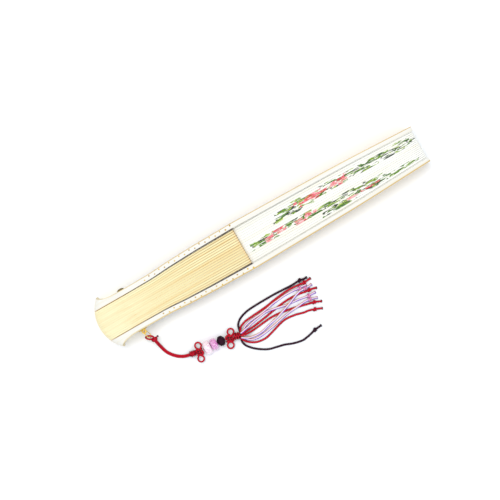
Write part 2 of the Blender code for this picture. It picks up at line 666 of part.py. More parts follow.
def make_rivet(fan_pivot):
    """A brass pin with a pierced eye at one end, its washer, and the domed cap at its other end."""
    face = guard_outer(0)
    washer_face = face + WASHER_GAP + WASHER_THICKNESS
    eye_face = washer_face + WASHER_GAP
    hole_y = eye_face + EYE_BASE_THICKNESS + EYE_STAND_OFF
    pin_end = face + WASHER_GAP + CAP_HEIGHT - CAP_WALL - WASHER_GAP
    pin = cylinder("rivet_eye_pin", PIN_RADIUS, (0, -eye_face, 0), (0, pin_end, 0), BORE_SIDES)
    base = cylinder(
        "eye_base",
        EYE_BASE_RADIUS,
        (0, -eye_face - EYE_BASE_THICKNESS, 0),
        (0, -eye_face, 0),
        TURNED_STEPS,
    )
    tab = cylinder(
        "eye_tab",
        EYE_RADIUS,
        (0, -hole_y, -EYE_THICKNESS / 2),
        (0, -hole_y, EYE_THICKNESS / 2),
        TURNED_STEPS,
    )
    hole = cylinder(
        "eye_hole_cutter",
        EYE_HOLE_RADIUS,
        (0, -hole_y, -EYE_THICKNESS),
        (0, -hole_y, EYE_THICKNESS),
        BORE_SIDES,
    )
    # The shaft starts inside the eye's base, so that the union has a clear overlap
    for vert in pin.data.vertices:
        if vert.co.y < 0:
            vert.co.y -= EYE_BASE_THICKNESS / 2
    for other, operation in ((base, "UNION"), (tab, "UNION"), (hole, "DIFFERENCE")):
        add_boolean(pin, as_cutter(other), operation)
    washer_inner = PIN_RADIUS + BORE_CLEARANCE
    washer = turned(
        "near_washer",
        (
            (WASHER_RADIUS, WASHER_THICKNESS / 2),
            (WASHER_RADIUS, -WASHER_THICKNESS / 2),
            (washer_inner, -WASHER_THICKNESS / 2),
            (washer_inner, WASHER_THICKNESS / 2),
        ),
        TURNED_STEPS,
        BRASS,
        closed=True,
    )
    aim(washer, (0, -face - WASHER_GAP - WASHER_THICKNESS / 2, 0), (0, -1, 0))
    bore = PIN_RADIUS + BORE_CLEARANCE * BORE_MARGIN_SHARE
    profile = [
        (
            CAP_RADIUS * math.sin(math.pi / 2 * n / DOME_STEPS),
            CAP_HEIGHT * math.cos(math.pi / 2 * n / DOME_STEPS),
        )
        for n in range(DOME_STEPS + 1)
    ]
    profile += [(bore, 0.0), (bore, CAP_HEIGHT - CAP_WALL), (0.0, CAP_HEIGHT - CAP_WALL)]
    cap = turned("far_cap", profile, TURNED_STEPS, BRASS)
    aim(cap, (0, face + WASHER_GAP, 0), (0, 1, 0))
    for obj in (pin, base, tab, hole, washer, cap):
        obj.parent = fan_pivot
    return hole_y


def make_link(swing):
    """The wire link: a long ring through the eye's hole, its far end lower than the hole."""
    yaw, drop = math.radians(LINK_YAW_DEG), math.radians(LINK_DROP_DEG)
    out = Vector(
        (
            math.sin(yaw) * math.cos(drop),
            -math.cos(yaw) * math.cos(drop),
            -math.sin(drop),
        )
    )
    up = Vector((math.sin(yaw) * math.sin(drop), -math.cos(yaw) * math.sin(drop), math.cos(drop)))
    points = []
    for centre, turn in (
        (LINK_HALF_WIDTH, math.pi / 2),
        (LINK_LENGTH - LINK_HALF_WIDTH, -math.pi / 2),
    ):
        for n in range(LINK_ARC_STEPS + 1):
            angle = turn + math.pi * n / LINK_ARC_STEPS
            points.append(
                out * (centre + LINK_HALF_WIDTH * math.cos(angle))
                + up * (LINK_HALF_WIDTH * math.sin(angle))
            )
    tube("link", points, 2 * LINK_WIRE_RADIUS, BRASS, swing, closed=True)


def tassel_points(swing, places_mm):
    return [Vector(place) * MM - swing.location for place in places_mm]


def make_hanger(swing):
    """The doubled cord from the link to the first collar, one tube out and back."""
    centre = tassel_points(swing, HANGER_ROUTE_MM)
    legs = {1: [], -1: []}
    for n, point in enumerate(centre):
        ahead = centre[min(n + 1, len(centre) - 1)] - centre[max(n - 1, 0)]
        across = Vector((-ahead.y, ahead.x, 0.0)).normalized() * HANGER_HALF_SPACING
        for side, leg in legs.items():
            leg.append(point + across * side)
    loop = tassel_points(swing, HITCH_LOOP_MM)
    route = legs[-1][::-1] + loop + legs[1]
    points = smooth_route(route, ROUTE_STEP_DIAMETERS * CORD_DIAMETER * LOOP_STEP_SHARE)
    places = laid([p for p, _ in points], [CORD_DIAMETER / 2] * len(points), swing)
    tube("hanger_cord", places, CORD_DIAMETER, RED_CORD, swing)


def along(direction, axis="X"):
    return Vector(direction).to_track_quat(axis, "Z")


def rounded_block(name, size, place, direction, round_by, material, swing):
    """A block with rounded edges whose X axis points along a direction."""
    bm = bmesh.new()
    bmesh.ops.create_cube(bm, size=1.0)
    bmesh.ops.scale(bm, vec=size, verts=bm.verts)
    obj = finish_mesh(bm, name, material)
    obj.parent = swing
    obj.location = place
    obj.rotation_mode = "QUATERNION"
    obj.rotation_quaternion = along(direction)
    add_bevel(obj, round_by, 3)
    return obj


def make_hitch(swing):
    """The small knot that gathers the loop, sleeve-like round both cords, with its trimmed end."""
    place = Vector(HITCH_MM) * MM - swing.location
    size = (HITCH_LENGTH, 2 * HITCH_HALF_WIDTH, 2 * HITCH_HALF_HEIGHT)
    hitch = rounded_block("hitch_knot", size, place, HITCH_AIM_MM, KNOT_ROUND, RED_CORD, swing)
    turn = along(HITCH_AIM_MM)
    length = Vector((HITCH_LENGTH, 0, 0))
    for side in (-1, 1):
        centre = place + turn @ Vector((0, side * HANGER_HALF_SPACING, 0))
        bore = cylinder(
            f"hitch_bore_cutter_{side + 1}",
            HITCH_BORE_RADIUS,
            centre - turn @ length,
            centre + turn @ length,
            BORE_SIDES,
        )
        bore.parent = swing
        add_boolean(hitch, as_cutter(bore), "DIFFERENCE")
    sunk = HITCH_STUB_LENGTH * STUB_SINK_SHARE
    stub_start = place + turn @ Vector((0, HITCH_HALF_WIDTH - sunk, 0))
    stub_end = stub_start + Vector((HITCH_STUB_LENGTH, HITCH_STUB_LENGTH * STUB_RISE_SHARE, 0))
    stub = cylinder("hitch_stub", CORD_DIAMETER / 2, stub_start, stub_end, BORE_SIDES)
    stub.parent = swing
    add_boolean(hitch, as_cutter(stub), "UNION")


def make_collar(name, place_mm, direction, length, radius, material, swing):
    """A binding of turned cord, ridged round its outside."""
    profile = [(0.0, length / 2)]
    steps = RIDGE_COUNT * RIDGE_STEPS
    for n in range(steps + 1):
        crest = radius - COLLAR_RIDGE * (1 + math.cos(2 * math.pi * n / RIDGE_STEPS))
        profile.append((crest, length / 2 - length * n / steps))
    profile.append((0.0, -length / 2))
    collar = turned(name, profile, BEAD_STEPS, material)
    aim(collar, Vector(place_mm) * MM - swing.location, direction)
    collar.parent = swing


def make_clover_knot(name, place_mm, direction, material, swing):
    """A flat woven knot with a round loop on each side."""
    place = Vector(place_mm) * MM - swing.location
    size = (KNOT_LENGTH, KNOT_WIDTH, KNOT_HEIGHT)
    knot = rounded_block(name, size, place, direction, KNOT_ROUND, material, swing)
    for n, offset in enumerate(KNOT_LOOP_OFFSETS_MM):
        bpy.ops.mesh.primitive_torus_add(
            major_segments=LOOP_SIDES,
            minor_segments=LOOP_CORD_SIDES,
            major_radius=KNOT_LOOP_RADIUS,
            minor_radius=KNOT_LOOP_CORD_RADIUS,
        )
        loop = as_cutter(bpy.context.object)
        loop.name = f"{name}_loop_{n + 1}"
        loop.parent = swing
        loop.location = place + Vector(offset) * MM
        add_boolean(knot, loop, "UNION")


def make_beads(swing):
    """The two turned beads, the knotted ball, and the cord that they are threaded on."""
    start = Vector(BEAD_AXIS_START_MM) * MM - swing.location
    end = Vector(BEAD_AXIS_END_MM) * MM - swing.location
    direction = (end - start).normalized()
    for name, share, length, radius, shares, material in (
        ("bead_pink", 0.0, BEAD_1_LENGTH, BEAD_1_RADIUS, BEAD_1_SHARES, PINK_BEAD),
        ("bead_orchid", BEAD_2_PLACE_SHARE, BEAD_2_LENGTH, BEAD_2_RADIUS, BEAD_2_SHARES, ORCHID_BEAD),
        ("bead_plum_ball", 1.0, BALL_LENGTH, BALL_RADIUS, BALL_SHARES, PLUM_CORD),
    ):
        upper = [
            (blend(radius, BEAD_BORE_RADIUS, 1 - swell), length / 2 * rise)
            for rise, swell in reversed(shares)
        ]
        lower = [(r, -h) for r, h in reversed(upper)]
        bead = turned(name, upper + lower, BEAD_STEPS, material, closed=True)
        aim(bead, start.lerp(end, share), direction)
        bead.parent = swing
    knot_1_end = start - direction * (BEAD_1_LENGTH / 2 + 2 * CORD_GAP)
    knot_2_start = end + direction * (BALL_LENGTH / 2 + 2 * CORD_GAP)
    count = round((knot_2_start - knot_1_end).length / (ROUTE_STEP_DIAMETERS * CORD_DIAMETER))
    points = [knot_1_end.lerp(knot_2_start, n / count) for n in range(count + 1)]
    tube("bead_cord", points, CORD_DIAMETER, RED_CORD, swing)


def laid(points, radii, swing):
    """The points, raised where the cord would sink into the surface that it lies on."""
    return [
        Vector((p.x, p.y, max(p.z, radius - swing.location.z)))
        for p, radius in zip(points, radii)
    ]


def make_strands(swing):
    """The ten loose strands, each with a tied knot near its end."""
    swell = 2 * TIE_RADIUS / STRAND_DIAMETER
    ties = {
        TIE_FROM_END + offset * TIE_RADIUS: blend(1.0, swell, share)
        for offset, share in TIE_SWELL_SHARES
    }
    colours = {"plum": PLUM_CORD, "red": RED_CORD, "pale": PALE_CORD}
    for name, route_mm in STRAND_ROUTES_MM.items():
        route = tassel_points(swing, route_mm)
        points = smooth_route(route, ROUTE_STEP_DIAMETERS * STRAND_DIAMETER, tuple(ties))
        radii = [
            next((r for mark, r in ties.items() if abs(mark - left) < 1e-9), 1.0)
            for _, left in points
        ]
        material = colours[name.split("_")[1]]
        places = laid([p for p, _ in points], [r * STRAND_DIAMETER / 2 for r in radii], swing)
        tube(name, places, STRAND_DIAMETER, material, swing, radii=radii)


def new_pivot(name, place):
    pivot = bpy.data.objects.new(name, None)
    pivot.location = place
    PARTS.objects.link(pivot)
    return pivot


def main():
    fan_pivot = new_pivot("fan_pivot", (RIVET_X, 0.0, RIVET_Z))
    reach = guard_outer(-HEAD_REACH) + CUT_OVERRUN
    bore_cutter = as_cutter(
        cylinder("rivet_bore_cutter", BORE_RADIUS, (0, -reach, 0), (0, reach, 0), BORE_SIDES)
    )
    bore_cutter.parent = fan_pivot
    make_ribs(fan_pivot, bore_cutter)
    make_guards(fan_pivot, bore_cutter)
    make_leaf(fan_pivot)
    hole_y = make_rivet(fan_pivot)
    swing = new_pivot("tassel_swing", (RIVET_X, -hole_y, RIVET_Z))
    make_link(swing)
    make_hanger(swing)
    make_hitch(swing)
    make_collar(
        "collar_upper", COLLAR_1_MM, COLLAR_1_AIM_MM, COLLAR_1_LENGTH, COLLAR_1_RADIUS, RED_CORD, swing
    )
    make_clover_knot("clover_knot_upper", KNOT_1_MM, KNOT_1_AIM_MM, RED_CORD, swing)
    make_beads(swing)
    make_clover_knot("clover_knot_lower", KNOT_2_MM, KNOT_2_AIM_MM, RED_CORD, swing)
    make_collar(
        "collar_lower", COLLAR_2_MM, COLLAR_2_AIM_MM, COLLAR_2_LENGTH, COLLAR_2_RADIUS, RED_CORD, swing
    )
    make_strands(swing)


main()
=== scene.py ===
"""Looks of a folding paper hand fan with a knotted tassel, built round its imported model.

Every piece is made in metres in the model's own frame: +X along the closed fan from its head to its
tip, Y along the rivet, +Z up from the surface that the fan lies on.
"""

import random
from functools import cache, reduce
from itertools import accumulate
from math import atan2, cos, hypot, pi, radians, sin, sqrt

import bmesh
import bpy
from bpy.props import FloatProperty, FloatVectorProperty, IntProperty, PointerProperty
from bpy.types import Operator, Panel, PropertyGroup
from mathutils import Matrix, Vector
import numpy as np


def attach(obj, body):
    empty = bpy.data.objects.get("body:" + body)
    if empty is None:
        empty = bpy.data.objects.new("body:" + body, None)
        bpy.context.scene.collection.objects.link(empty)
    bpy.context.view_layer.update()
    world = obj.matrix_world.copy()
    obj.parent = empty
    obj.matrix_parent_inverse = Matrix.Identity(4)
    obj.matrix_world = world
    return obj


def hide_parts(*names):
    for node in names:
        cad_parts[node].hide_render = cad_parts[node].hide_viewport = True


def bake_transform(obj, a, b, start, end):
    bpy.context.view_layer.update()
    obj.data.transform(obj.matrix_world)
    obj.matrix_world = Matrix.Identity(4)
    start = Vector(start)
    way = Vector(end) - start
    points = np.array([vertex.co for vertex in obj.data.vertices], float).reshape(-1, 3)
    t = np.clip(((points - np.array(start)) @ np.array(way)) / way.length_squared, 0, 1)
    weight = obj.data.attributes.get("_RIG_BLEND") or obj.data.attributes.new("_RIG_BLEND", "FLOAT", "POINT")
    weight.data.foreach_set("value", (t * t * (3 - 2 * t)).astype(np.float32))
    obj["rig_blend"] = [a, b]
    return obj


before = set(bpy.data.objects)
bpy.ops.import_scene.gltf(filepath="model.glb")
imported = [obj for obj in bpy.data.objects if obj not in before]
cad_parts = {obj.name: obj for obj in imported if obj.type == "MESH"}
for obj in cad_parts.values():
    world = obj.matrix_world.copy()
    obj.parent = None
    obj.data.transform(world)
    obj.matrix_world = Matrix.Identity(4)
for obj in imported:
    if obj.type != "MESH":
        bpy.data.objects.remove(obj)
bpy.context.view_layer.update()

bl_info = {
    "name": "Paper hand fan",
    "version": (1, 0, 0),
    "blender": (4, 5, 0),
    "location": "3D View > Sidebar > Hand fan",
    "description": "Bamboo sticks, pleated printed leaf, rivet and knotted tassel of a folding fan",
    "category": "Object",
}

MM = 0.001
TURN = 2 * pi

# Sizes of the sticks, as in the model; a reach is measured from the rivet
HEAD_REACH = 0.0225
HEAD_CORNER_REACH = 0.0150
NECK_REACH = 0.0220
SHOULDER_REACH = 0.0800
SLIP_END_REACH = 0.2000
TIP_REACH = 0.2076
RIB_COUNT = 16
PITCH_AT_RIVET = 0.00126
PITCH_AT_SHOULDER = 0.00152
PITCH_AT_TIP = 0.00112
RIB_GAP = 0.00025
RIB_HALF_WIDTHS = (0.0086, 0.0057, 0.0051)  # head, neck, shoulder
SLIP_THICKNESS = 0.00035
SLIP_ROOT_HALF_WIDTH = 0.0018
SLIP_TIP_HALF_WIDTH = 0.0011
GUARD_THICKNESS_AT_RIVET = 0.0035
GUARD_THICKNESS_AT_SHOULDER = 0.0033
GUARD_THICKNESS_AT_TIP = 0.0028
GUARD_HALF_WIDTHS = (0.0090, 0.0064, 0.0072)  # head, neck, shoulder
HEAD_FLARE_HALF = 0.0175
BORE_RADIUS = 0.0015
RIVET_X = (HEAD_REACH - TIP_REACH) / 2
RIVET_Z = GUARD_HALF_WIDTHS[0]
HEAD_DROP = HEAD_REACH - HEAD_CORNER_REACH
HEAD_CURVE_RADIUS = (HEAD_FLARE_HALF**2 + HEAD_DROP**2) / (2 * HEAD_DROP)
SHOULDER_ROUND_REACH = 0.0016
ROUND_START = SHOULDER_REACH - SHOULDER_ROUND_REACH
HEAD_MIDDLE_REACH = -0.0205

# Sizes of the paper leaf
PLEAT_HALF_ANGLE = radians(4.85) / 2
STEP_ANGLE = radians(9.2)
PAPER_THICKNESS = 0.0003
PLEAT_GAP = 0.00004
PLEAT_CREST = 0.00022
CREST_SPREAD = radians(0.35)
END_PLEAT_ROOM = 0.0006
END_PLEAT_WIDTH = 0.00046
GLUE_GAP = 0.00004
LEAF_START = SHOULDER_REACH + 0.00008
LEAF_END = TIP_REACH - 0.0006
# How much narrower a fold grows past the end of its slip, so that the paper lies evenly at the tip
TIP_EASE = 0.00022
EASE_REACH = 0.007
# How far below its neighbours a fold's crest may lie, and how much its height wavers
CREST_DROP_MAX = 0.00028
CREST_WAVE = 0.00008
CREST_WAVES = 70
JOIN_THICKNESS = 0.00002
# A join's half height is a little less than the height over which it passes from one stick to the
# next, so that it never folds over where it can be seen.
JOIN_BLEND_HEIGHT = 0.0015
JOIN_HALF_HEIGHT = 0.00136
# How far the two joins beside the guards lie off the middle of their gaps
END_JOIN_SHIFTS = {0: -0.00002, RIB_COUNT: 0.00005}

# Shares of a change along a stretch of the sticks
PITCH_RISE = ((0.0, 0.0), (0.225, 0.08), (0.45, 0.56), (0.7, 0.86), (1.0, 1.0))
PITCH_FALL = ((0.0, 0.0), (0.31, 0.175), (0.49, 0.29), (1.0, 1.0))
FLARE = ((0.0, 0.0), (0.3, 0.03), (0.6, 0.19), (0.87, 0.54), (1.0, 1.0))
HEAD_SWELL = ((0.0, 0.35), (0.25, 0.78), (0.45, 1.0), (0.82, 1.0), (0.93, 0.75), (1.0, 0.1))
NECK_SWELL = ((0.0, 0.35), (0.5, 0.09), (1.0, 0.0))
TIP_WIDTH = ((0.0, 0.0), (0.5, 0.6), (0.9, 1.0), (0.985, 1.0), (1.0, 0.55))
SHOULDER_ROUND = ((0.0, 1.0), (0.5, 0.95), (0.75, 0.86), (0.92, 0.7), (1.0, 0.5))

# The tassel. Places are in millimetres. A knot, a collar and the hitch have a place and a direction
CORD_DIAMETER = 0.0012
STRAND_DIAMETER = 0.0014
KNOT_CORD_DIAMETER = 0.00105
COLLAR_CORD_DIAMETER = 0.00086
TWIST_PITCH = 0.0035
CORD_STEP = 0.00035
HANGER_HALF_SPACING = 0.0005
TIE_FROM_END = 0.0052
TIE_TURNS = 1.35
HITCH_TURNS = 2.1
WRAP_START_ANGLE = 0.6
# Length, half width and half height of the tie's and the hitch's wraps, and how far the tie's slant
TIE_WRAP = (0.0014, 0.0009, 0.0007)
HITCH_WRAP = (0.0016, 0.00145, 0.00108)
TIE_SLANT = 0.00055
# Where the cut end of the hitch's cord leaves it, which way it points, and how large its tip is
STUB_ROOT = (0.0, 0.0016, 0.0003)
STUB_WAY = (0.0012, 0.0004, 0.0)
BURNT_TIP = (0.00075, 0.00065)
EYE_Y = -0.01573
BEAD_AXIS_MM = ((-63.55, -44.25, 4.40), (-54.25, -44.95, 3.90))
KNOT_1_MM = ((-69.1, -44.4, 4.0), (5.0, -0.5, 1.1))
KNOT_2_MM = ((-48.55, -46.55, 3.25), (5.0, -1.6, -0.6))
COLLAR_1_MM = ((-73.25, -43.1, 3.0), (5.0, -0.8, 1.2))
COLLAR_2_MM = ((-43.7, -47.35, 2.75), (5.0, -1.9, 0.0))
HITCH_MM = ((-89.7, -23.2, 6.0), (0.8, -2.3, -1.6))
HITCH_LOOP_MM = ((-91.65, -20.79, 6.46), (2.1, -1.3, 0.0), (0.572, 0.996, 0.964))
# Half the angle that the loop in the wire link leaves open
HITCH_LOOP_OPENING = 0.6
HANGER_ROUTE_MM = (
    (-89.3, -25.8, 4.75), (-89.05, -27.35, 3.6), (-88.65, -29.5, 2.1), (-88.05, -32.0, 1.0),
    (-86.85, -34.9, 0.65), (-84.3, -38.25, 0.65), (-81.25, -40.8, 0.7), (-78.3, -42.2, 1.25),
    (-75.35, -42.8, 2.3),
)
# A point without a third number lies on the floor, this far up to the middle of its cord
LYING_MM = 0.6
STRAND_ROUTES_MM = {
    "strand_plum_upper": (
        (-41.1, -47.6, 0.85), (-40.8, -45.6, 0.62), (-40.39, -43.5), (-39.29, -41.11),
        (-36.56, -38.92), (-33.34, -37.64), (-28.8, -36.76), (-20.23, -36.4), (-10.14, -36.35),
        (-3.09, -36.68), (2.46, -36.91), (7.6, -36.63, 1.1), (10.02, -37.14, 0.7), (12.85, -37.26),
    ),
    "strand_red_upper": (
        (-40.6, -46.1, 2.1), (-39.89, -44.81, 1.8), (-38.68, -43.51, 0.9), (-36.56, -42.62, 0.62),
        (-34.34, -41.93), (-28.29, -41.36), (-19.82, -40.7), (-13.57, -39.73), (-7.22, -38.86),
        (-0.97, -38.39), (4.98, -38.72), (9.62, -39.24, 1.1), (12.04, -39.15, 0.7), (14.65, -38.86),
    ),
    "strand_pale_upper": (
        (-41.15, -47.7, 2.05), (-39.49, -47.01, 2.05), (-37.77, -45.72, 1.4), (-35.96, -44.52, 0.7),
        (-33.34, -43.74), (-28.8, -43.06), (-24.77, -42.68), (-19.93, -42.1), (-14.88, -41.22),
        (-8.93, -40.45), (-3.09, -40.08), (1.55, -40.4), (4.98, -40.82, 1.1), (8.0, -40.83, 0.7),
        (10.22, -41.14),
    ),
    "strand_pale_over": (
        (-40.9, -47.1, 3.35), (-38.88, -46.71, 3.2), (-36.56, -46.22, 2.1), (-34.34, -45.83, 1.0),
        (-31.82, -45.14), (-26.28, -44.17), (-21.54, -43.49), (-18.41, -43.61, 0.8),
        (-15.99, -44.02, 1.7), (-13.47, -44.53, 1.9), (-10.95, -45.14, 1.7), (-8.13, -45.76, 0.9),
        (-4.9, -46.17), (0.14, -46.7), (4.17, -47.32), (8.0, -47.83, 1.1), (10.43, -47.95, 0.7),
        (12.95, -48.06),
    ),
    "strand_red_middle": (
        (-41.4, -48.3, 3.35), (-39.19, -47.91, 3.3), (-36.97, -47.72, 2.3), (-34.55, -47.63, 1.0),
        (-31.32, -47.35), (-26.28, -46.67), (-21.64, -45.99), (-17.91, -45.31), (-13.47, -44.58),
        (-9.44, -43.95), (-3.09, -43.48), (3.16, -43.91), (7.2, -44.63), (10.43, -44.95, 1.1),
        (12.95, -45.46, 0.7), (15.05, -46.16),
    ),
    "strand_red_crossed": (
        (-41.4, -48.3, 4.6), (-38.98, -48.91, 4.4), (-36.56, -49.22, 3.3), (-33.94, -49.33, 1.7),
        (-31.12, -49.15, 0.75), (-28.29, -48.86), (-21.74, -48.19), (-18.21, -48.01),
        (-14.18, -48.23), (-10.35, -48.85), (-7.42, -49.26), (-3.29, -50.08), (0.95, -51.2),
        (5.08, -52.22), (8.81, -53.04, 1.1), (11.23, -54.05, 0.7), (13.65, -55.06),
    ),
    "strand_pale_crossing": (
        (-41.9, -49.5, 3.35), (-40.09, -50.8, 3.2), (-37.98, -51.91, 2.3), (-35.35, -52.63, 1.1),
        (-32.33, -53.14), (-29.3, -53.06), (-26.38, -52.47), (-20.13, -50.9), (-16.6, -50.02, 0.8),
        (-14.08, -49.23, 1.7), (-11.76, -48.54, 1.9), (-8.23, -47.36, 1.6), (-4.8, -46.07, 1.9),
        (-1.57, -44.79, 1.7), (0.85, -43.8, 1.9), (3.16, -43.01, 1.7), (5.38, -42.62, 0.9),
        (8.21, -42.68, 1.1), (11.03, -42.75, 0.7), (13.25, -42.56),
    ),
    "strand_pale_lower": (
        (-41.65, -48.9, 2.05), (-40.39, -50.7, 1.95), (-38.98, -52.41, 1.3), (-36.97, -53.92, 0.7),
        (-34.34, -54.73), (-31.12, -54.95), (-25.17, -54.18), (-18.41, -52.91), (-12.57, -51.74),
        (-8.53, -51.06, 0.8), (-5.51, -50.67, 1.6), (-2.08, -50.39, 1.9), (1.25, -50.1, 1.7),
        (3.97, -50.01, 0.8), (7.4, -50.23, 1.1), (9.92, -50.84, 0.7), (12.34, -51.55),
    ),
    "strand_red_lower": (
        (-42.2, -50.1, 2.05), (-41.3, -51.9, 2.0), (-40.19, -53.5, 1.1), (-38.18, -55.21, 0.62),
        (-35.66, -56.63), (-32.83, -57.44), (-28.6, -57.66), (-23.56, -56.48), (-16.8, -54.42),
        (-11.76, -53.54), (-5.51, -54.17), (-0.06, -55.6), (3.57, -56.11), (7.4, -57.33, 1.1),
        (9.62, -58.24, 0.7), (11.84, -59.15),
    ),
    "strand_plum_lower": (
        (-41.7, -49.0, 0.85), (-42.6, -51.2), (-42.7, -53.2), (-41.5, -56.1), (-38.38, -59.51),
        (-34.85, -62.23), (-30.51, -64.65), (-25.47, -65.97), (-20.43, -67.2), (-15.49, -69.12),
        (-9.54, -70.45), (-5.41, -70.07), (-2.28, -69.38), (0.74, -68.5, 1.1), (3.16, -68.31, 0.7),
        (5.79, -68.02),
    ),
}

# The camera and the lights
CAMERA_LENS = 115.8
CAMERA_PLACE = (-0.00968, -0.00448, 1.016)
CAMERA_ROLL = radians(29.89)
CAMERA_CLIP = (0.05, 20.0)
AMBIENT = (0.87, 0.888, 0.928)
FLOOR_HALF_SIZE = 3.0
# Name, size, power, colour and place
LIGHTS = (
    ("key_light", 0.5, 5.4, (1.0, 0.99, 0.96), (-0.08, 0.29, 1.25)),
    ("fill_light", 1.2, 3.0, (0.85, 0.95, 1.0), (0.35, -0.5, 1.5)),
)


def length_value(name, description, default):
    return FloatProperty(name=name, description=description, default=default, unit="LENGTH")


def colour_value(name, description, default):
    return FloatVectorProperty(name=name, description=description, default=default, subtype="COLOR")


class HandFanSizes(PropertyGroup):
    """Small sizes of the dressed fan."""

    stick_edge_round: length_value("Stick edge round", "Rounding of a rib's long edges", 0.00012)
    guard_edge_round: length_value("Guard edge round", "Rounding of a guard's long edges", 0.0004)
    gap_at_head: length_value("Gap at head", "Gap between ribs at the head", 0.00005)
    gap_at_shoulder: length_value("Gap at shoulder", "Gap between ribs at the shoulder", 0.00014)
    dot_pitch: length_value("Dot pitch", "Spacing of the burnt dots on the guards", 0.0037)
    dot_radius: length_value("Dot radius", "Radius of a burnt dot", 0.0005)
    seed: IntProperty(
        name="Seed", description="Start of the small random differences", default=7, min=0
    )


class HandFanColours(PropertyGroup):
    """Colours of the dressed fan."""

    rib: colour_value("Rib", "Sawn edge of the thin bamboo ribs", (0.835, 0.77, 0.45))
    guard: colour_value("Guard", "Sawn edge of the guards", (0.76, 0.75, 0.70))
    skin: colour_value("Skin", "Outer skin of the bamboo", (0.56, 0.38, 0.12))
    paper: colour_value("Paper", "Bare paper of the leaf", (0.86, 0.855, 0.80))
    red: colour_value("Red cord", "Crimson satin cord", (0.70, 0.004, 0.026))
    pale: colour_value("Pale cord", "Pale pink and lilac cord", (0.95, 0.86, 0.93))
    plum: colour_value("Plum cord", "Dark plum cord", (0.036, 0.002, 0.019))
    brass: colour_value("Brass", "Rivet, cap and wire link", (0.87, 0.61, 0.12))


def smooth_value(table, place):
    """The table's value at a place, on a curve that is smooth through its points."""
    if place <= table[0][0]:
        return table[0][1]
    if place >= table[-1][0]:
        return table[-1][1]
    slopes = [(b[1] - a[1]) / (b[0] - a[0]) for a, b in zip(table, table[1:])]
    k = max(n for n, point in enumerate(table[:-1]) if point[0] <= place)
    steer = []
    for n in (k, k + 1):
        before, after = slopes[max(n - 1, 0)], slopes[min(n, len(slopes) - 1)]
        steer.append(0.0 if before * after <= 0 else min(before, after, key=abs))
    (x0, y0), (x1, y1) = table[k], table[k + 1]
    t = (place - x0) / (x1 - x0)
    bend = (x1 - x0) * (steer[0] * t * (1 - t) ** 2 + steer[1] * t * t * (t - 1))
    return y0 * (1 + 2 * t) * (1 - t) ** 2 + y1 * t * t * (3 - 2 * t) + bend


def blend(start, end, share):
    return start + (end - start) * share


def held(value):
    """The value, kept between 0 and 1."""
    return max(0.0, min(1.0, value))


def steps(start, end, count):
    return [blend(start, end, n / count) for n in range(count + 1)]


def angles_round(count):
    return steps(0, TURN, count)[:-1]


def stations(start, *stretches):
    """Places along a stick, from the end and the count of each stretch."""
    places = [start]
    for end, count in stretches:
        places += steps(places[-1], end, count)[1:-1] + [end]
    return places


def leaf_share(reach):
    return (reach - SHOULDER_REACH) / (TIP_REACH - SHOULDER_REACH)


def rib_pitch(reach):
    """Spacing of the sticks, which bow apart at the shoulder and close again at the tip."""
    if reach <= SHOULDER_REACH:
        share = smooth_value(PITCH_RISE, reach / SHOULDER_REACH)
        return blend(PITCH_AT_RIVET, PITCH_AT_SHOULDER, share)
    return blend(PITCH_AT_SHOULDER, PITCH_AT_TIP, smooth_value(PITCH_FALL, leaf_share(reach)))


def rib_layer(index, reach):
    return (index - (RIB_COUNT + 1) / 2) * rib_pitch(reach)


def head_x(reach, y):
    """How far along a point of a stick lies: the head's end is curved."""
    end = HEAD_REACH - HEAD_CURVE_RADIUS + sqrt(HEAD_CURVE_RADIUS**2 - y * y)
    return reach if reach >= 0 else reach / HEAD_REACH * end


def guard_inner(reach):
    room = blend(RIB_GAP, END_PLEAT_ROOM, held(reach / SHOULDER_REACH))
    return RIB_COUNT / 2 * rib_pitch(reach) + room


def guard_outer(reach):
    if reach < 0:
        plain = guard_inner(0) + GUARD_THICKNESS_AT_RIVET
        return blend(plain, HEAD_FLARE_HALF, smooth_value(FLARE, -reach / HEAD_REACH))
    if reach <= SHOULDER_REACH:
        thickness = blend(
            GUARD_THICKNESS_AT_RIVET, GUARD_THICKNESS_AT_SHOULDER, reach / SHOULDER_REACH
        )
    else:
        thickness = blend(GUARD_THICKNESS_AT_SHOULDER, GUARD_THICKNESS_AT_TIP, leaf_share(reach))
    return guard_inner(reach) + thickness


def handle_half_width(reach, head, neck, shoulder):
    if reach < 0:
        return blend(neck, head, smooth_value(HEAD_SWELL, -reach / HEAD_REACH))
    if reach < NECK_REACH:
        return blend(neck, head, smooth_value(NECK_SWELL, reach / NECK_REACH))
    return blend(neck, shoulder, (reach - NECK_REACH) / (SHOULDER_REACH - NECK_REACH))


def guard_half_width(reach):
    if reach <= SHOULDER_REACH:
        return handle_half_width(reach, *GUARD_HALF_WIDTHS)
    head, _, shoulder = GUARD_HALF_WIDTHS
    return blend(shoulder, head, smooth_value(TIP_WIDTH, leaf_share(reach)))


def rib_half_width(reach):
    """Half the height of a rib: its handle, its rounded shoulder and its narrow slip."""
    if reach > SHOULDER_REACH:
        share = (reach - SHOULDER_REACH) / (SLIP_END_REACH - SHOULDER_REACH)
        return blend(SLIP_ROOT_HALF_WIDTH, SLIP_TIP_HALF_WIDTH, share)
    plain = handle_half_width(min(reach, ROUND_START), *RIB_HALF_WIDTHS)
    return plain * smooth_value(SHOULDER_ROUND, (reach - ROUND_START) / SHOULDER_ROUND_REACH)


# Nodes


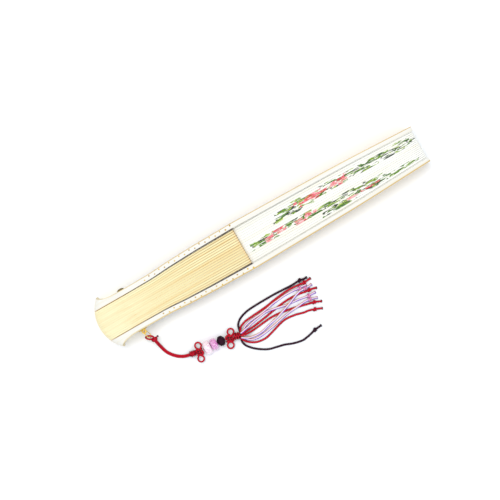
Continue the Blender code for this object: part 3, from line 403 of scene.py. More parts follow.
class Wire:
    """The output of a node, on which plain arithmetic makes Math nodes."""

    def __init__(self, socket):
        self.socket = socket

    def __add__(self, other):
        return calc("ADD", self, other)

    def __sub__(self, other):
        return calc("SUBTRACT", self, other)

    def __rsub__(self, other):
        return calc("SUBTRACT", other, self)

    def __mul__(self, other):
        return calc("MULTIPLY", self, other)

    def __truediv__(self, other):
        return calc("DIVIDE", self, other)

    def __abs__(self):
        return calc("ABSOLUTE", self)

    __radd__, __rmul__ = __add__, __mul__


def plug(socket, value):
    """Link a Wire to an input, or else set the input's own value."""
    if isinstance(value, Wire):
        socket.id_data.links.new(value.socket, socket)
    elif socket.type == "RGBA" and len(value) == 3:
        socket.default_value = (*value, 1.0)
    else:
        socket.default_value = value


def node(kind, inputs, tree=None, **settings):
    """Wires from a new node, by number and name. It goes into the tree of what feeds it."""
    tree = tree or next(each.socket.id_data for each in inputs.values() if isinstance(each, Wire))
    made = tree.nodes.new(kind)
    for name, value in settings.items():
        setattr(made, name, value)
    for key, value in inputs.items():
        plug(made.inputs[key], value)
    return {key: Wire(out) for n, out in enumerate(made.outputs) for key in (n, out.name)}


def calc(operation, *values, **settings):
    return node("ShaderNodeMath", dict(enumerate(values)), operation=operation, **settings)[0]


def vector_calc(operation, *values):
    made = node("ShaderNodeVectorMath", dict(enumerate(values)), operation=operation)
    return made["Value" if operation == "LENGTH" else "Vector"]


def mix(factor, a, b, kind="MIX"):
    return node("ShaderNodeMix", {0: factor, 6: a, 7: b}, data_type="RGBA", blend_type=kind)[2]


def most(wires):
    return reduce(lambda a, b: calc("MAXIMUM", a, b), wires)


def split(vector):
    parts = node("ShaderNodeSeparateXYZ", {0: vector})
    return parts[0], parts[1], parts[2]


def flat_vector(x, y):
    return node("ShaderNodeCombineXYZ", {0: x, 1: y})[0]


def span(value, low, high, to_low=0.0, to_high=1.0):
    """The value, eased from one span to another and held inside it."""
    inputs = {"Value": value, "From Min": low, "From Max": high}
    inputs.update({"To Min": to_low, "To Max": to_high})
    return node("ShaderNodeMapRange", inputs, interpolation_type="SMOOTHSTEP")[0]


def noise(vector, scale, detail=2.0, roughness=0.5, distortion=0.0, output="Fac"):
    """Noise whose scale may differ along the three axes."""
    if isinstance(scale, tuple):
        vector, scale = vector_calc("MULTIPLY", vector, scale), 1.0
    inputs = {"Vector": vector, "Scale": scale, "Detail": detail, "Roughness": roughness}
    return node("ShaderNodeTexNoise", {**inputs, "Distortion": distortion})[output]


def ramp(factor, stops):
    """A colour from a run of (place, colour) stops."""
    made = factor.socket.id_data.nodes.new("ShaderNodeValToRGB")
    plug(made.inputs[0], factor)
    elements = made.color_ramp.elements
    while len(elements) < len(stops):
        elements.new(0.5)
    for element, (place, colour) in zip(elements, stops):
        element.position, element.color = place, (*colour, 1.0)
    return Wire(made.outputs[0])


VECTOR = (0.0, 0.0, 0.0)


def shared(name, **inputs):
    """Turn a function of Wires into a shader node group. A call of it adds a node of the group.

    The function gives the group's outputs by name, all of them values but for Color.
    """

    def wrap(fill):
        @cache
        def group():
            tree = bpy.data.node_groups.new(name, "ShaderNodeTree")

            def add_socket(label, in_out, kind):
                kind = "NodeSocket" + kind
                return tree.interface.new_socket(label, in_out=in_out, socket_type=kind)

            for label, value in inputs.items():
                size = len(value) if isinstance(value, tuple) else 1
                kind = {1: "Float", 3: "Vector", 4: "Color"}[size]
                add_socket(label.replace("_", " "), "INPUT", kind).default_value = value
            given = node("NodeGroupInput", {}, tree)
            results = fill(*(given[n] for n in range(len(inputs))))
            for label in results:
                add_socket(label, "OUTPUT", "Color" if label == "Color" else "Float")
            node("NodeGroupOutput", results, tree)
            return tree

        return lambda *values: node("ShaderNodeGroup", dict(enumerate(values)), node_tree=group())

    return wrap


@shared(
    "bamboo_grain", Vector=VECTOR, Pale=(0.9, 0.8, 0.5, 1.0), Dark=(0.6, 0.4, 0.15, 1.0),
    Contrast=0.5,
)
def grain(vector, pale, dark, contrast):
    """Bamboo fibres that run along X: pale and dark streaks, pores and a little sawn roughness."""
    broad = noise(vector, (9.0, 620.0, 240.0))
    fine = noise(vector, (70.0, 4200.0, 2600.0), 3.0, 0.6)
    pore = span(noise(vector, (260.0, 7000.0, 5200.0), 1.0), 0.66, 0.74)
    amount = (span(broad, 0.38, 0.72) * 0.6 + span(fine, 0.45, 0.75) * 0.4) * contrast
    return {
        "Color": mix(calc("ADD", amount, pore * 0.18, use_clamp=True), pale, dark),
        "Roughness": span(fine, 0.3, 0.8, 0.38, 0.6),
        "Height": fine - pore * 0.5,
    }


@shared("cord_plait", Vector=VECTOR, Turns=4.0, Pitch=1100.0)
def plaited(vector, turns, pitch):
    """The plait of a thin satin cord: threads that cross along its UV map, u round and v along."""
    u, v, _ = split(vector)
    around, along = u * (turns * TURN), v * (pitch * TURN)
    height = most((calc("SINE", along + around), calc("SINE", along - around)))
    fuzz = noise(vector, (60.0, 9000.0, 1.0))
    shade = span(height, -0.4, 0.9, 0.45, 1.0) * span(fuzz, 0.2, 0.8, 0.86, 1.1)
    return {"Shade": shade, "Height": height}


@shared("paper_fibre", Vector=VECTOR, Paper=(0.9, 0.9, 0.85, 1.0), Tint=(0.8, 0.75, 0.6, 1.0))
def soft_paper(vector, paper, tint):
    """Soft paper: faint fibres and a little cloudiness."""
    cloud = span(noise(vector, (16.0, 500.0, 40.0), 3.0), 0.42, 0.8, 0.0, 0.5)
    return {"Color": mix(cloud, paper, tint), "Height": noise(vector, (900.0, 5200.0, 1500.0))}


@shared(
    "painted_spray", Vector=VECTOR, Angle=0.5, Lean=0.0, Start=0.085, End=0.2, Half_Width=0.25,
    Blossom_Start=0.1, Blossom_End=0.15,
)
def spray(vector, at_angle, lean, start, end, half_width, blossom_start, blossom_end):
    """A painted spray on the leaf: leaves and blossoms that thin out away from a slanting stem.

    The vector is the leaf's own UV map: the angle round the rivet of the open fan, and the reach.
    """
    angle, reach, _ = split(vector)
    along = (reach - start) / (end - start)
    stem = at_angle + lean * along + calc("SINE", along * 5.2) * 0.05
    side = abs(angle - stem) / half_width
    inside = span(along, -0.02, 0.08) * span(along, 1.02, 0.9)
    ragged = noise(vector, (14.0, 60.0, 1.0), 3.0, 0.7)
    low = span(reach, blossom_start, blossom_start + 0.006)
    high = span(reach, blossom_end, blossom_end - 0.006)
    return {
        "Leaf": span(side + ragged * 1.1, 1.45, 0.95) * inside,
        "Blossom": low * high * span(side + ragged * 0.9, 1.2, 0.8),
    }


@shared(
    "painted_mark", Vector=VECTOR, Scale=(200.0, 200.0, 1.0), Long=0.5, Wide=0.2, Turn=0.0,
    Spread=1.6, Petals=0.0,
)
def stamp(vector, scale, half_long, half_wide, turn, spread, petals):
    """One painted mark in each cell of a scatter: a leaf, or a blossom when it has petals."""
    place = vector_calc("MULTIPLY", vector, scale)
    cells = node("ShaderNodeTexVoronoi", {"Vector": place, "Scale": 1.0}, voronoi_dimensions="2D")
    shade, pick, drawn = split(cells["Color"])
    inputs = {"Vector": vector_calc("SUBTRACT", place, cells["Position"])}
    inputs["Angle"] = turn + (drawn - 0.5) * spread
    local = node("ShaderNodeVectorRotate", inputs, rotation_type="Z_AXIS")[0]
    x, y, _ = split(local)
    across, long = y / half_wide, x / half_long
    # A leaf is pointed at both ends: its width falls off along its length
    leaf = abs(across) + long * long
    lobes = abs(calc("SINE", calc("ARCTAN2", y, x) * (petals / 2.0)))
    blossom = vector_calc("LENGTH", local) / (half_long * (0.5 + lobes * 0.5))
    flower = calc("GREATER_THAN", petals, 0.5)
    shape = leaf * (1.0 - flower) + blossom * flower
    return {
        "Mark": span(shape, 1.06, 0.9), "Middle": shape, "Vein": abs(across), "Pick": pick,
        "Shade": shade,
    }


# Materials


class Look:
    """A material in the making, and its Principled shader, on which plain values are set."""

    def __init__(self, name, roughness=0.5, **values):
        self.material = bpy.data.materials.new(name)
        self.material.use_nodes = True
        self.tree = self.material.node_tree
        self.shader = self.tree.nodes["Principled BSDF"].inputs
        for label, value in {"Roughness": roughness, **values}.items():
            plug(self.shader[label.replace("_", " ")], value)

    def coordinate(self, kind="Object"):
        return node("ShaderNodeTexCoord", {}, self.tree)[kind]

    def uv(self):
        return node("ShaderNodeUVMap", {}, self.tree)[0]

    def attribute(self, name):
        return node("ShaderNodeAttribute", {}, self.tree, attribute_name=name)["Fac"]

    def finish(self, colour, height=None, depth=0.0, roughness=None):
        """Link what drives the shader, and give the material."""
        plug(self.shader["Base Color"], colour)
        if roughness:
            plug(self.shader["Roughness"], roughness)
        if height:
            bump = node("ShaderNodeBump", {"Height": height, "Distance": depth, "Strength": 1.0})
            plug(self.shader["Normal"], bump[0])
        return self.material


def panel_colours():
    return bpy.context.scene.hand_fan_colours


# Places along X between which the sticks' colours change
HEAD_X = -0.112
SKIN_FULL_X = -0.055
DOTS_START = -0.0778
DOT_COUNT = 18
DOT_ROW = 0.00175
DOT_ZIGZAG = 0.00048
GRAIN_DEPTH = 0.00002


def bamboo(name, pale, dark, contrast):
    """Sawn bamboo, with its end grain where a cut end or a rounding shows it."""
    look = Look(name, 0.45, Specular_IOR_Level=0.3)
    fibres = grain(look.coordinate(), pale, dark, contrast)
    return look, fibres, mix(look.attribute("end_grain") * 0.8, fibres["Color"], (0.90, 0.69, 0.38))


def near_edge(look):
    """Strong near a stick's upper and lower edges and gone farther in."""
    return span(look.attribute("from_edge"), 0.55, 0.4)


def slot_shade_colour(along):
    """Painted shade for the slot beside the guards: brown by the head, near black by the shoulder."""
    return mix(span(along, -0.108, -0.062), (0.64, 0.36, 0.10), (0.13, 0.048, 0.014))


def rib_material():
    """Rib: tan along its edges, more so toward the shoulder, partly as painted shade for the gaps
    between ribs; the outer ribs carry painted slot shade.

    Its UV map holds the place along and across it.
    """
    look, fibres, colour = bamboo("bamboo_rib", panel_colours().rib, (0.76, 0.48, 0.14), 0.7)
    along, across, _ = split(look.uv())
    colour = mix(span(along, HEAD_X, -0.06, 0.4, 0.0), colour, (0.87, 0.83, 0.58))
    # Partly painted shade: a darker tan toward the sides draws the gaps between ribs, more so by the
    # shoulder
    rim = span(abs(across * 2.0 - 1.0), 0.62, 1.0) * span(along, HEAD_X, -0.02, 0.12, 0.75)
    colour = mix(rim, colour, (0.60, 0.29, 0.05))
    # Painted shade: an outer rib's outer face darkens near its edges, for the shadow in the slot by the
    # guard
    slot_shade = span(look.attribute("from_skin"), 0.15, 0.75) * near_edge(look)
    colour = mix(slot_shade, colour, slot_shade_colour(along))
    return look.finish(colour, fibres["Height"], GRAIN_DEPTH, fibres["Roughness"])


def guard_material():
    """Guard: tan skin outside, painted slot shade on its inner face and a zigzag row of burnt dots on the
    handle.

    Its UV map holds the place along the stick and the distance across it from the inner face.
    """
    colours, sizes = panel_colours(), bpy.context.scene.hand_fan_sizes
    look, fibres, colour = bamboo("bamboo_guard", colours.guard, (0.74, 0.64, 0.40), 0.4)
    place, depth = look.coordinate(), look.attribute("from_skin")
    along, across, _ = split(look.uv())
    # The skin shows as a rim that is narrower at the head. It is painted wider on the near guard:
    # painted shade on the side away from the key light
    width = span(along, HEAD_X, -0.09, 0.42, 1.0) * span(split(place)[1], -0.001, 0.001, 1.55, 1.0)
    rim = span(depth / width, 0.00066, 0.00028) * span(along, -0.1080, -0.1035, 0.35, 1.0)
    rim = most((rim, span(depth, 0.0001, 0.00003)))
    skin = mix(span(along, HEAD_X, SKIN_FULL_X), (0.68, 0.59, 0.36), colours.skin)
    speck = span(noise(place, (10.0, 700.0, 900.0), 4.0, 0.6), 0.4, 0.75, 0.0, 0.5)
    colour = mix(rim, colour, mix(speck, skin, (0.74, 0.58, 0.28)))
    # Painted shade on the inner face near its edges along the handle, for the shadow in the slot by the ribs
    inner = span(across, 0.00022, 0.00005) * span(along, -0.0118, -0.0124) * near_edge(look)
    colour = mix(inner, colour, slot_shade_colour(along))
    # The burnt dots
    pitch, dots_end = sizes.dot_pitch, DOTS_START + DOT_COUNT * sizes.dot_pitch
    count = (along - DOTS_START) / pitch
    near = (calc("FRACT", count) - 0.5) * pitch
    odd = calc("MODULO", calc("FLOOR", count), 2.0) * 2.0
    off = across - (DOT_ROW + (odd - 1.0) * DOT_ZIGZAG)
    last = span(along, dots_end - 2 * pitch, dots_end - pitch, 1.0, 1.35)
    size = (0.55 + noise(place, 900.0) * 0.9) * sizes.dot_radius * last
    inside = calc("GREATER_THAN", along, DOTS_START) * calc("LESS_THAN", along, dots_end)
    dot = span(calc("SQRT", near * near + off * off) / size, 1.2, 0.65) * inside
    burnt = mix(span(noise(place, 160.0, 1.0), 0.4, 0.6), (0.66, 0.43, 0.06), (0.42, 0.25, 0.05))
    colour = mix(dot, colour, burnt)
    return look.finish(colour, fibres["Height"] - dot * 2.0, GRAIN_DEPTH, fibres["Roughness"])


LEAF_GREENS = (
    (0.1, (0.02, 0.07, 0.02)), (0.3, (0.07, 0.19, 0.03)), (0.5, (0.17, 0.33, 0.03)),
    (0.7, (0.33, 0.49, 0.06)), (0.9, (0.50, 0.60, 0.16)),
)
LEAF_INKS = ((0.1, (0.008, 0.010, 0.010)), (0.5, (0.02, 0.045, 0.02)), (0.9, (0.05, 0.10, 0.03)))
BLOSSOM_PINKS = (
    (0.1, (0.50, 0.01, 0.04)), (0.35, (0.78, 0.06, 0.11)), (0.6, (0.88, 0.26, 0.30)),
    (0.9, (0.93, 0.60, 0.60)),
)
# Cells to the metre both ways, half length and half width of a mark in cells, its turn and how far
# that varies, and its petals; then the mask that shows it, the share of its cells that are painted
# and its colours
MARKS = (
    (((130.0, 330.0, 1.0), 0.62, 0.26, 0.0, 0.9, 0.0), "Leaf", 0.95, LEAF_INKS),
    (((110.0, 260.0, 1.0), 0.66, 0.30, 0.0, 0.8, 0.0), "Leaf", 1.0, LEAF_GREENS),
    (((190.0, 420.0, 1.0), 0.60, 0.28, 0.0, 1.3, 0.0), "Leaf", 0.7, LEAF_GREENS),
    (((125.0, 125.0, 1.0), 0.58, 0.5, 0.0, 6.0, 5.0), "Blossom", 0.8, BLOSSOM_PINKS),
    (((210.0, 210.0, 1.0), 0.50, 0.5, 0.0, 6.0, 5.0), "Blossom", 0.55, BLOSSOM_PINKS),
)
# Angle, lean, start, end, half width, and the stretch of blossoms, of each painted spray
SPRAYS = (
    (1.02, -0.22, 0.083, 0.180, 0.32, 0.090, 0.134),
    (1.85, 0.34, 0.104, 0.206, 0.42, 0.118, 0.160),
    (0.42, 0.12, 0.132, 0.203, 0.20, 0.148, 0.176),
)


def paper_material():
    """White paper with painted leaves and blossoms, on the UV map of open angle and reach."""
    look = Look("printed_paper", 0.8, Specular_IOR_Level=0.15)
    bare = soft_paper(look.coordinate(), panel_colours().paper, (0.84, 0.79, 0.62))
    uv = look.uv()
    sprays = [spray(uv, *values) for values in SPRAYS]
    masks = {label: most([each[label] for each in sprays]) for label in ("Leaf", "Blossom")}
    # The place on the flat, open leaf, in metres
    angle, reach, _ = split(uv)
    flat = flat_vector(reach * calc("COSINE", angle), reach * calc("SINE", angle))
    wobble = vector_calc("SUBTRACT", noise(flat, 260.0, 3.0, output="Color"), (0.5, 0.5, 0.5))
    wobble = vector_calc("MULTIPLY", wobble, (0.004, 0.004, 0.0))
    bent = {"Leaf": vector_calc("ADD", flat_vector(reach, angle * 0.14), wobble)}
    bent["Blossom"] = vector_calc("ADD", flat, wobble)
    dry = {"Leaf": span(noise(uv, (170.0, 105.0, 1.0)), 0.38, 0.45)}
    dry["Blossom"] = span(noise(uv, (330.0, 160.0, 1.0)), 0.40, 0.48)
    stem = span(abs(noise(flat, 36.0, 1.0) - 0.5), 0.010, 0.004) * span(masks["Leaf"], 0.3, 0.7)
    colour = mix(stem * 0.85, bare["Color"], (0.03, 0.035, 0.02))
    for values, shown, share, palette in MARKS:
        mark = stamp(bent[shown], *values)
        picked = calc("LESS_THAN", mark["Pick"], masks[shown] * share)
        painted = ramp(mark["Shade"] * 0.65 + mark["Middle"] * 0.35, palette)
        if shown == "Leaf":
            painted = mix(span(mark["Vein"], 0.16, 0.05), painted, (0.012, 0.03, 0.012))
        colour = mix(mark["Mark"] * picked * dry[shown] * 0.94, colour, painted)
    return look.finish(colour, bare["Height"], 0.00001)


# Each cord's colour, where it isn't the panel's own, then the painted shade between its threads and
# on its flanks, and the colours that run round it, among which None stands for its own
FLANK_SHADE = (0.13, 0.13, 0.18)
CORDS = {
    "red": (None, (0.22, 0.2, 0.25), FLANK_SHADE, ()),
    "plum": (None, (0.3, 0.3, 0.3), FLANK_SHADE, ()),
    "pink": ((0.93, 0.36, 0.62), (0.6, 0.3, 0.45), FLANK_SHADE, ()),
    # Near black: cores that fill the gaps of knots and collars as painted shade
    "crevice": ((0.014, 0.001, 0.002), (0.4, 0.4, 0.4), FLANK_SHADE, ()),
    "pale": (None, (0.78, 0.66, 0.8), (0.62, 0.45, 0.62), (
        (0.12, (0.34, 0.14, 0.80)), (0.34, (0.72, 0.50, 0.94)), (0.47, (0.96, 0.90, 0.97)),
        (0.60, None), (0.84, (0.90, 0.48, 0.28)),
    )),
}
# The scale of a bead's swirls and their colours
GLASSES = {
    "pink_glass": (430.0, (
        (0.34, (0.88, 0.85, 0.87)), (0.45, (0.86, 0.66, 0.75)), (0.50, (0.90, 0.88, 0.90)),
        (0.57, (0.74, 0.20, 0.42)), (0.61, (0.90, 0.84, 0.88)),
    )),
    "orchid_glass": (610.0, (
        (0.36, (0.84, 0.34, 0.68)), (0.44, (0.52, 0.03, 0.34)), (0.50, (0.90, 0.72, 0.88)),
        (0.57, (0.36, 0.01, 0.26)), (0.66, (0.72, 0.14, 0.52)),
    )),
}
# Name, roughness, metallic, scale and detail of the mottling, its depth and its colours: brass gone
# brown under years of handling, and the melted, trimmed end of a cord
MOTTLED = {
    "old_brass": (
        "old_brass", 0.45, 1.0, 900.0, 3.0, 0.00001,
        ((0.35, (0.10, 0.075, 0.03)), (0.7, (0.34, 0.25, 0.09))),
    ),
    "burnt": (
        "burnt_cord_end", 0.35, 0.0, 3000.0, 2.0, 0.00004,
        ((0.3, (0.012, 0.008, 0.01)), (0.7, (0.10, 0.01, 0.02))),
    ),
}


def cord_material(name, colour, between, flank_shade, flecks):
    """Plaited satin cord of one colour or more, with painted shade between its threads and on its flanks."""
    look = Look("cord_" + name, 0.5, Specular_IOR_Level=0.18)
    uv = look.uv()
    threads = plaited(uv)
    if flecks:
        tone = 0.5 + calc("COSINE", split(uv)[0] * TURN) * 0.5
        tone += span(noise(look.coordinate(), 130.0, 1.0), 0.3, 0.7, -0.12, 0.12)
        colour = ramp(tone, [(place, stop or colour) for place, stop in flecks])
    # Painted shade: the cord darkens where its surface turns away from up, on its flanks and underside
    upward = split(look.coordinate("Normal"))[2]
    colour = mix(1.0, colour, mix(span(upward, 0.88, 0.3), (1.0, 1.0, 1.0), flank_shade), "MULTIPLY")
    # Painted shade: darker in the valleys between the plait's threads, where Shade is low
    colour = mix(threads["Shade"], mix(1.0, colour, between, "MULTIPLY"), colour)
    return look.finish(colour, threads["Height"], 0.00005)


def glass_material(name, scale, stops):
    """Swirled opaque bead glass under a clear coat."""
    look = Look("bead_" + name, 0.12, Coat_Weight=1.0, Coat_Roughness=0.03, Specular_IOR_Level=0.6)
    return look.finish(ramp(noise(look.coordinate(), scale, 2.0, distortion=2.4), stops))


def mottled_material(name, roughness, metallic, scale, detail, depth, stops):
    look = Look(name, roughness, Metallic=metallic)
    mottling = noise(look.coordinate(), scale, detail)
    return look.finish(ramp(mottling, stops), mottling, depth)


def brass_material():
    look = Look("brass", 0.28, Metallic=1.0)
    scuff = noise(look.coordinate(), 2600.0, 3.0)
    dull = span(noise(look.coordinate(), 420.0), 0.45, 0.8)
    colour = mix(dull, panel_colours().brass, (0.42, 0.24, 0.05))
    return look.finish(colour, scuff, 0.00001, span(scuff, 0.3, 0.7, 0.18, 0.42))


def floor_material():
    white = (0.945, 0.957, 0.972)
    return Look("white_floor", 0.9, Specular_IOR_Level=0.1, Base_Color=white).material


PAINTERS = {
    "rib": rib_material, "guard": guard_material, "paper": paper_material, "brass": brass_material,
    "floor": floor_material,
}


@cache
def paint(name):
    """A material by its short name, made when it is first asked for."""
    if name in CORDS:
        colour, *tints = CORDS[name]
        return cord_material(name, colour or getattr(panel_colours(), name), *tints)
    if name in GLASSES:
        return glass_material(name, *GLASSES[name])
    if name in MOTTLED:
        return mottled_material(*MOTTLED[name])
    return PAINTERS[name]()


# Meshes


def new_object(name, data):
    obj = bpy.data.objects.new(name, data)
    bpy.context.scene.collection.objects.link(obj)
    return obj


def from_bmesh(bm, name, material, sharp_deg=35.0):
    mesh = bpy.data.meshes.new(name)
    bm.to_mesh(mesh)
    bm.free()
    mesh.shade_smooth()
    mesh.set_sharp_from_angle(angle=radians(sharp_deg))
    mesh.materials.append(paint(material))
    return new_object(name, mesh)


def take_mesh(obj):
    """The finished mesh of an object, which is removed."""
    bpy.context.view_layer.update()
    evaluated = obj.evaluated_get(bpy.context.evaluated_depsgraph_get())
    mesh = bpy.data.meshes.new_from_object(evaluated)
    bpy.data.objects.remove(obj, do_unlink=True)
    return mesh


def bake(obj):
    """Turn an object and its modifiers into a plain mesh of the same name."""
    name = obj.name
    mesh = take_mesh(obj)
    mesh.name = name
    return new_object(name, mesh)


def seat(obj, body, slot_name, *nodes):
    """Let a piece ride on its body, in place of the nodes that it stands for."""
    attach(obj, body)
    if nodes:
        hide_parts(*nodes)
    return obj


def hang(obj, slot_name, *nodes):
    return seat(obj, "tassel_body", slot_name, *nodes)


def set_uv(bm, place):
    """Give a mesh its UV map, from a function of each vertex."""
    uv = bm.loops.layers.uv.new("UVMap")
    for face in bm.faces:
        for loop in face.loops:
            loop[uv].uv = place(loop.vert)


def shaped_bar(name, reaches, rows, shape, material):
    """A cube cut across at each reach and along each row, whose points a shape function places.

    The UV map holds the distance along the bar and the distance across it, in metres.
    """
    bm = bmesh.new()
    bmesh.ops.create_cube(bm, size=1.0)
    first, length = reaches[0], reaches[-1] - reaches[0]
    cuts = [((reach - first) / length - 0.5, 0.0, (1, 0, 0)) for reach in reaches[1:-1]]
    cuts += [(0.0, row / 2, (0, 1, 0)) for row in rows] + [(0.0, 0.0, (0, 0, 1))]
    for x, y, normal in cuts:
        whole = bm.verts[:] + bm.edges[:] + bm.faces[:]
        bmesh.ops.bisect_plane(bm, geom=whole, plane_co=(x, y, 0), plane_no=normal)
    layers = bm.verts.layers.float
    labels = ("from_skin", "end_grain", "across", "from_edge")
    skin, end, across, edge = (layers.new(label) for label in labels)
    for vert in bm.verts:
        x, y, z = vert.co
        vert[edge] = 1 - abs(2 * z)
        reach = first + (x + 0.5) * length
        vert.co, vert[skin], vert[end], vert[across] = shape(reach, 2 * y, 2 * z)
    set_uv(bm, lambda vert: (vert.co.x, vert[across]))
    bmesh.ops.recalc_face_normals(bm, faces=bm.faces)
    return from_bmesh(bm, name, material)


def drill(obj):
    """Cut the rivet's bore through a stick."""
    bm = bmesh.new()
    bmesh.ops.create_cone(
        bm, cap_ends=True, segments=40, radius1=BORE_RADIUS, radius2=BORE_RADIUS, depth=0.06
    )
    across = Matrix.Rotation(pi / 2, 4, "X")
    matrix = Matrix.Translation((RIVET_X, 0, RIVET_Z)) @ across
    bmesh.ops.transform(bm, matrix=matrix, verts=bm.verts)
    bore = from_bmesh(bm, "stick_bore", "rib")
    boolean = obj.modifiers.new("bore", "BOOLEAN")
    boolean.object, boolean.solver = bore, "EXACT"
    obj = bake(obj)
    bpy.data.objects.remove(bore, do_unlink=True)
    return obj


def round_edges(obj, width, segments=2):
    bevel = obj.modifiers.new("rounded_edges", "BEVEL")
    bevel.width, bevel.segments = width, segments
    bevel.limit_method, bevel.angle_limit = "ANGLE", radians(40)
    return obj


def spin_solid(name, profile, place, axis, material, segments=48, bumps=None):
    """A closed (radius, height) profile turned round an axis at a place."""
    bm = bmesh.new()
    verts = [bm.verts.new((radius, 0.0, height)) for radius, height in profile]
    edges = [bm.edges.new((a, b)) for a, b in zip(verts, verts[1:])]
    if profile[0][0] > 0:
        edges.append(bm.edges.new((verts[-1], verts[0])))
    bmesh.ops.spin(
        bm, geom=verts + edges, cent=(0, 0, 0), axis=(0, 0, 1), angle=TURN, steps=segments,
        use_merge=True,
    )
    bmesh.ops.remove_doubles(bm, verts=bm.verts, dist=1e-7)
    if bumps:
        for vert in bm.verts:
            vert.co = bumps(vert.co)
    bmesh.ops.recalc_face_normals(bm, faces=bm.faces)
    turn = Vector(axis).to_track_quat("Z", "Y").to_matrix().to_4x4()
    bmesh.ops.transform(bm, matrix=Matrix.Translation(place) @ turn, verts=bm.verts)
    return from_bmesh(bm, name, material)


def half_oval(radius, height, count, turn=pi):
    """The profile of an oval solid, or of a dome with a quarter of a turn."""
    return [(radius * sin(a), height * cos(a)) for a in steps(0, turn, count)]


def distances(points):
    """How far along the points each of them lies."""
    return [0.0, *accumulate((b - a).length for a, b in zip(points, points[1:]))]


def smooth_route(route, step):
    """Points at even steps along a smooth curve through the route."""
    ends = [2 * route[0] - route[1]] + list(route) + [2 * route[-1] - route[-2]]
    fine = []
    for a, b, c, d in zip(ends, ends[1:], ends[2:], ends[3:]):
        for n in range(12):
            t = n / 12
            first, second, third = c - a, 2 * a - 5 * b + 4 * c - d, 3 * b - a - 3 * c + d
            fine.append(b + first * (t / 2) + second * (t * t / 2) + third * (t**3 / 2))
    fine.append(route[-1])
    gone = distances(fine)
    points, k = [], 0
    for place in steps(0.0, gone[-1], max(2, round(gone[-1] / step))):
        while k < len(gone) - 2 and gone[k + 1] < place:
            k += 1
        gap = gone[k + 1] - gone[k]
        points.append(fine[k].lerp(fine[k + 1], (place - gone[k]) / gap if gap else 0.0))
    return points


def poly_curve(name, points, closed, tilts=None, radii=None, **settings):
    curve = bpy.data.curves.new(name, "CURVE")
    for key, value in settings.items():
        setattr(curve, key, value)
    spline = curve.splines.new("POLY")
    spline.points.add(len(points) - 1)
    spline.use_cyclic_u = closed
    for n, point in enumerate(points):
        spline.points[n].co = (*point, 1.0)
        spline.points[n].tilt = tilts[n] if tilts else 0.0
        spline.points[n].radius = radii[n] if radii else 1.0
    return new_object(name, curve)


def leftward(points, n):
    """The level direction to the left of a run of points at one of them."""
    ahead = points[min(n + 1, len(points) - 1)] - points[max(n - 1, 0)]
    return Vector((-ahead.y, ahead.x, 0.0)).normalized()


def level_uv(mesh, points, length):
    """Set the UV map's round part from the cord's left side, over its top, whatever its twist."""
    data, last = mesh.uv_layers[0].data, len(points) - 1
    for face in mesh.polygons:
        around = []
        for k in face.loop_indices:
            n = min(last, max(0, round(data[k].uv.y / length * last)))
            off = mesh.vertices[mesh.loops[k].vertex_index].co - points[n]
            around.append(atan2(off.z, off.dot(leftward(points, n))) / TURN % 1.0)
        turn_over = max(around) - min(around) > 0.5
        for k, value in zip(face.loop_indices, around):
            data[k].uv.x = value + 1.0 if turn_over and value < 0.5 else value


def cord_mesh(
    name, runs, diameter, material, lobes=3, depth=0.1, sides=18, closed=False, level=False
):
    """Twisted cord along each run of points, as one closed mesh whose UV map is in metres along it.

    A run is its points, or a pair of its points and their shares of the radius. The cord's
    cross-section is a circle with shallow lobes.
    """
    ring = []
    for angle in angles_round(sides):
        radius = diameter / 2 * (1 - depth / 2 + depth / 2 * cos(lobes * angle))
        ring.append((radius * cos(angle), radius * sin(angle), 0.0))
    section = poly_curve("cord_section", ring, True, dimensions="2D")
    bm = bmesh.new()
    for run in runs:
        points, radii = run if isinstance(run, tuple) else (run, None)
        gone = distances(points)
        tilts = [TURN * place / TWIST_PITCH for place in gone]
        mesh = take_mesh(poly_curve(
            name, points, closed, tilts, radii, dimensions="3D", bevel_mode="OBJECT",
            bevel_object=section, use_fill_caps=not closed,
        ))
        for item in mesh.uv_layers[0].data:
            item.uv = (item.uv.y, item.uv.x * gone[-1])
        if level:
            level_uv(mesh, points, gone[-1])
        bm.from_mesh(mesh)
    bpy.data.objects.remove(section, do_unlink=True)
    bmesh.ops.remove_doubles(bm, verts=bm.verts, dist=1e-7)
    bmesh.ops.recalc_face_normals(bm, faces=bm.faces)
    return from_bmesh(bm, name, material, 60.0)


def red_cord(name, runs, *nodes, diameter=CORD_DIAMETER):
    """A piece of red cord on the tassel."""
    return hang(cord_mesh(name, runs, diameter, "red"), "red_cord", *nodes)


def wire(name, points, diameter):
    """A plain round wire that closes on itself."""
    return cord_mesh(name, [points], diameter, "brass", 2, 0.0, 14, True)


def wound(matrix, size, turns, count, slant=0.0):
    """Points of a cord wound round the X axis, from its length, half width and half height."""
    (length, wide, high), points = size, []
    for share in steps(0.0, 1.0, count):
        angle = WRAP_START_ANGLE + TURN * turns * share
        x = length * (share - 0.5) + slant * sin(angle + 0.5)
        points.append(matrix @ Vector((x, wide * cos(angle), high * sin(angle))))
    return points


def declare_cord(cord, points, diameter, far_end, *with_pieces):
    round(distances(points)[-1], 4)


def frame_at(place, direction):
    """A matrix whose X axis points along a direction, with its Z axis as near up as it can be."""
    turn = Vector(direction).to_track_quat("X", "Z").to_matrix().to_4x4()
    return Matrix.Translation(place) @ turn


def posed(pose_mm):
    """The place, the direction and the matrix of a knot, a collar or the hitch."""
    place, direction = Vector(pose_mm[0]) * MM, pose_mm[1]
    return place, direction, frame_at(place, direction)


def mm_points(places):
    return [Vector((*place, LYING_MM)[:3]) * MM for place in places]


def laid(points, radius):
    """The points, none of them lower than a radius above the floor."""
    return [Vector((p.x, p.y, max(p.z, radius))) for p in points]


# Pieces of the fan


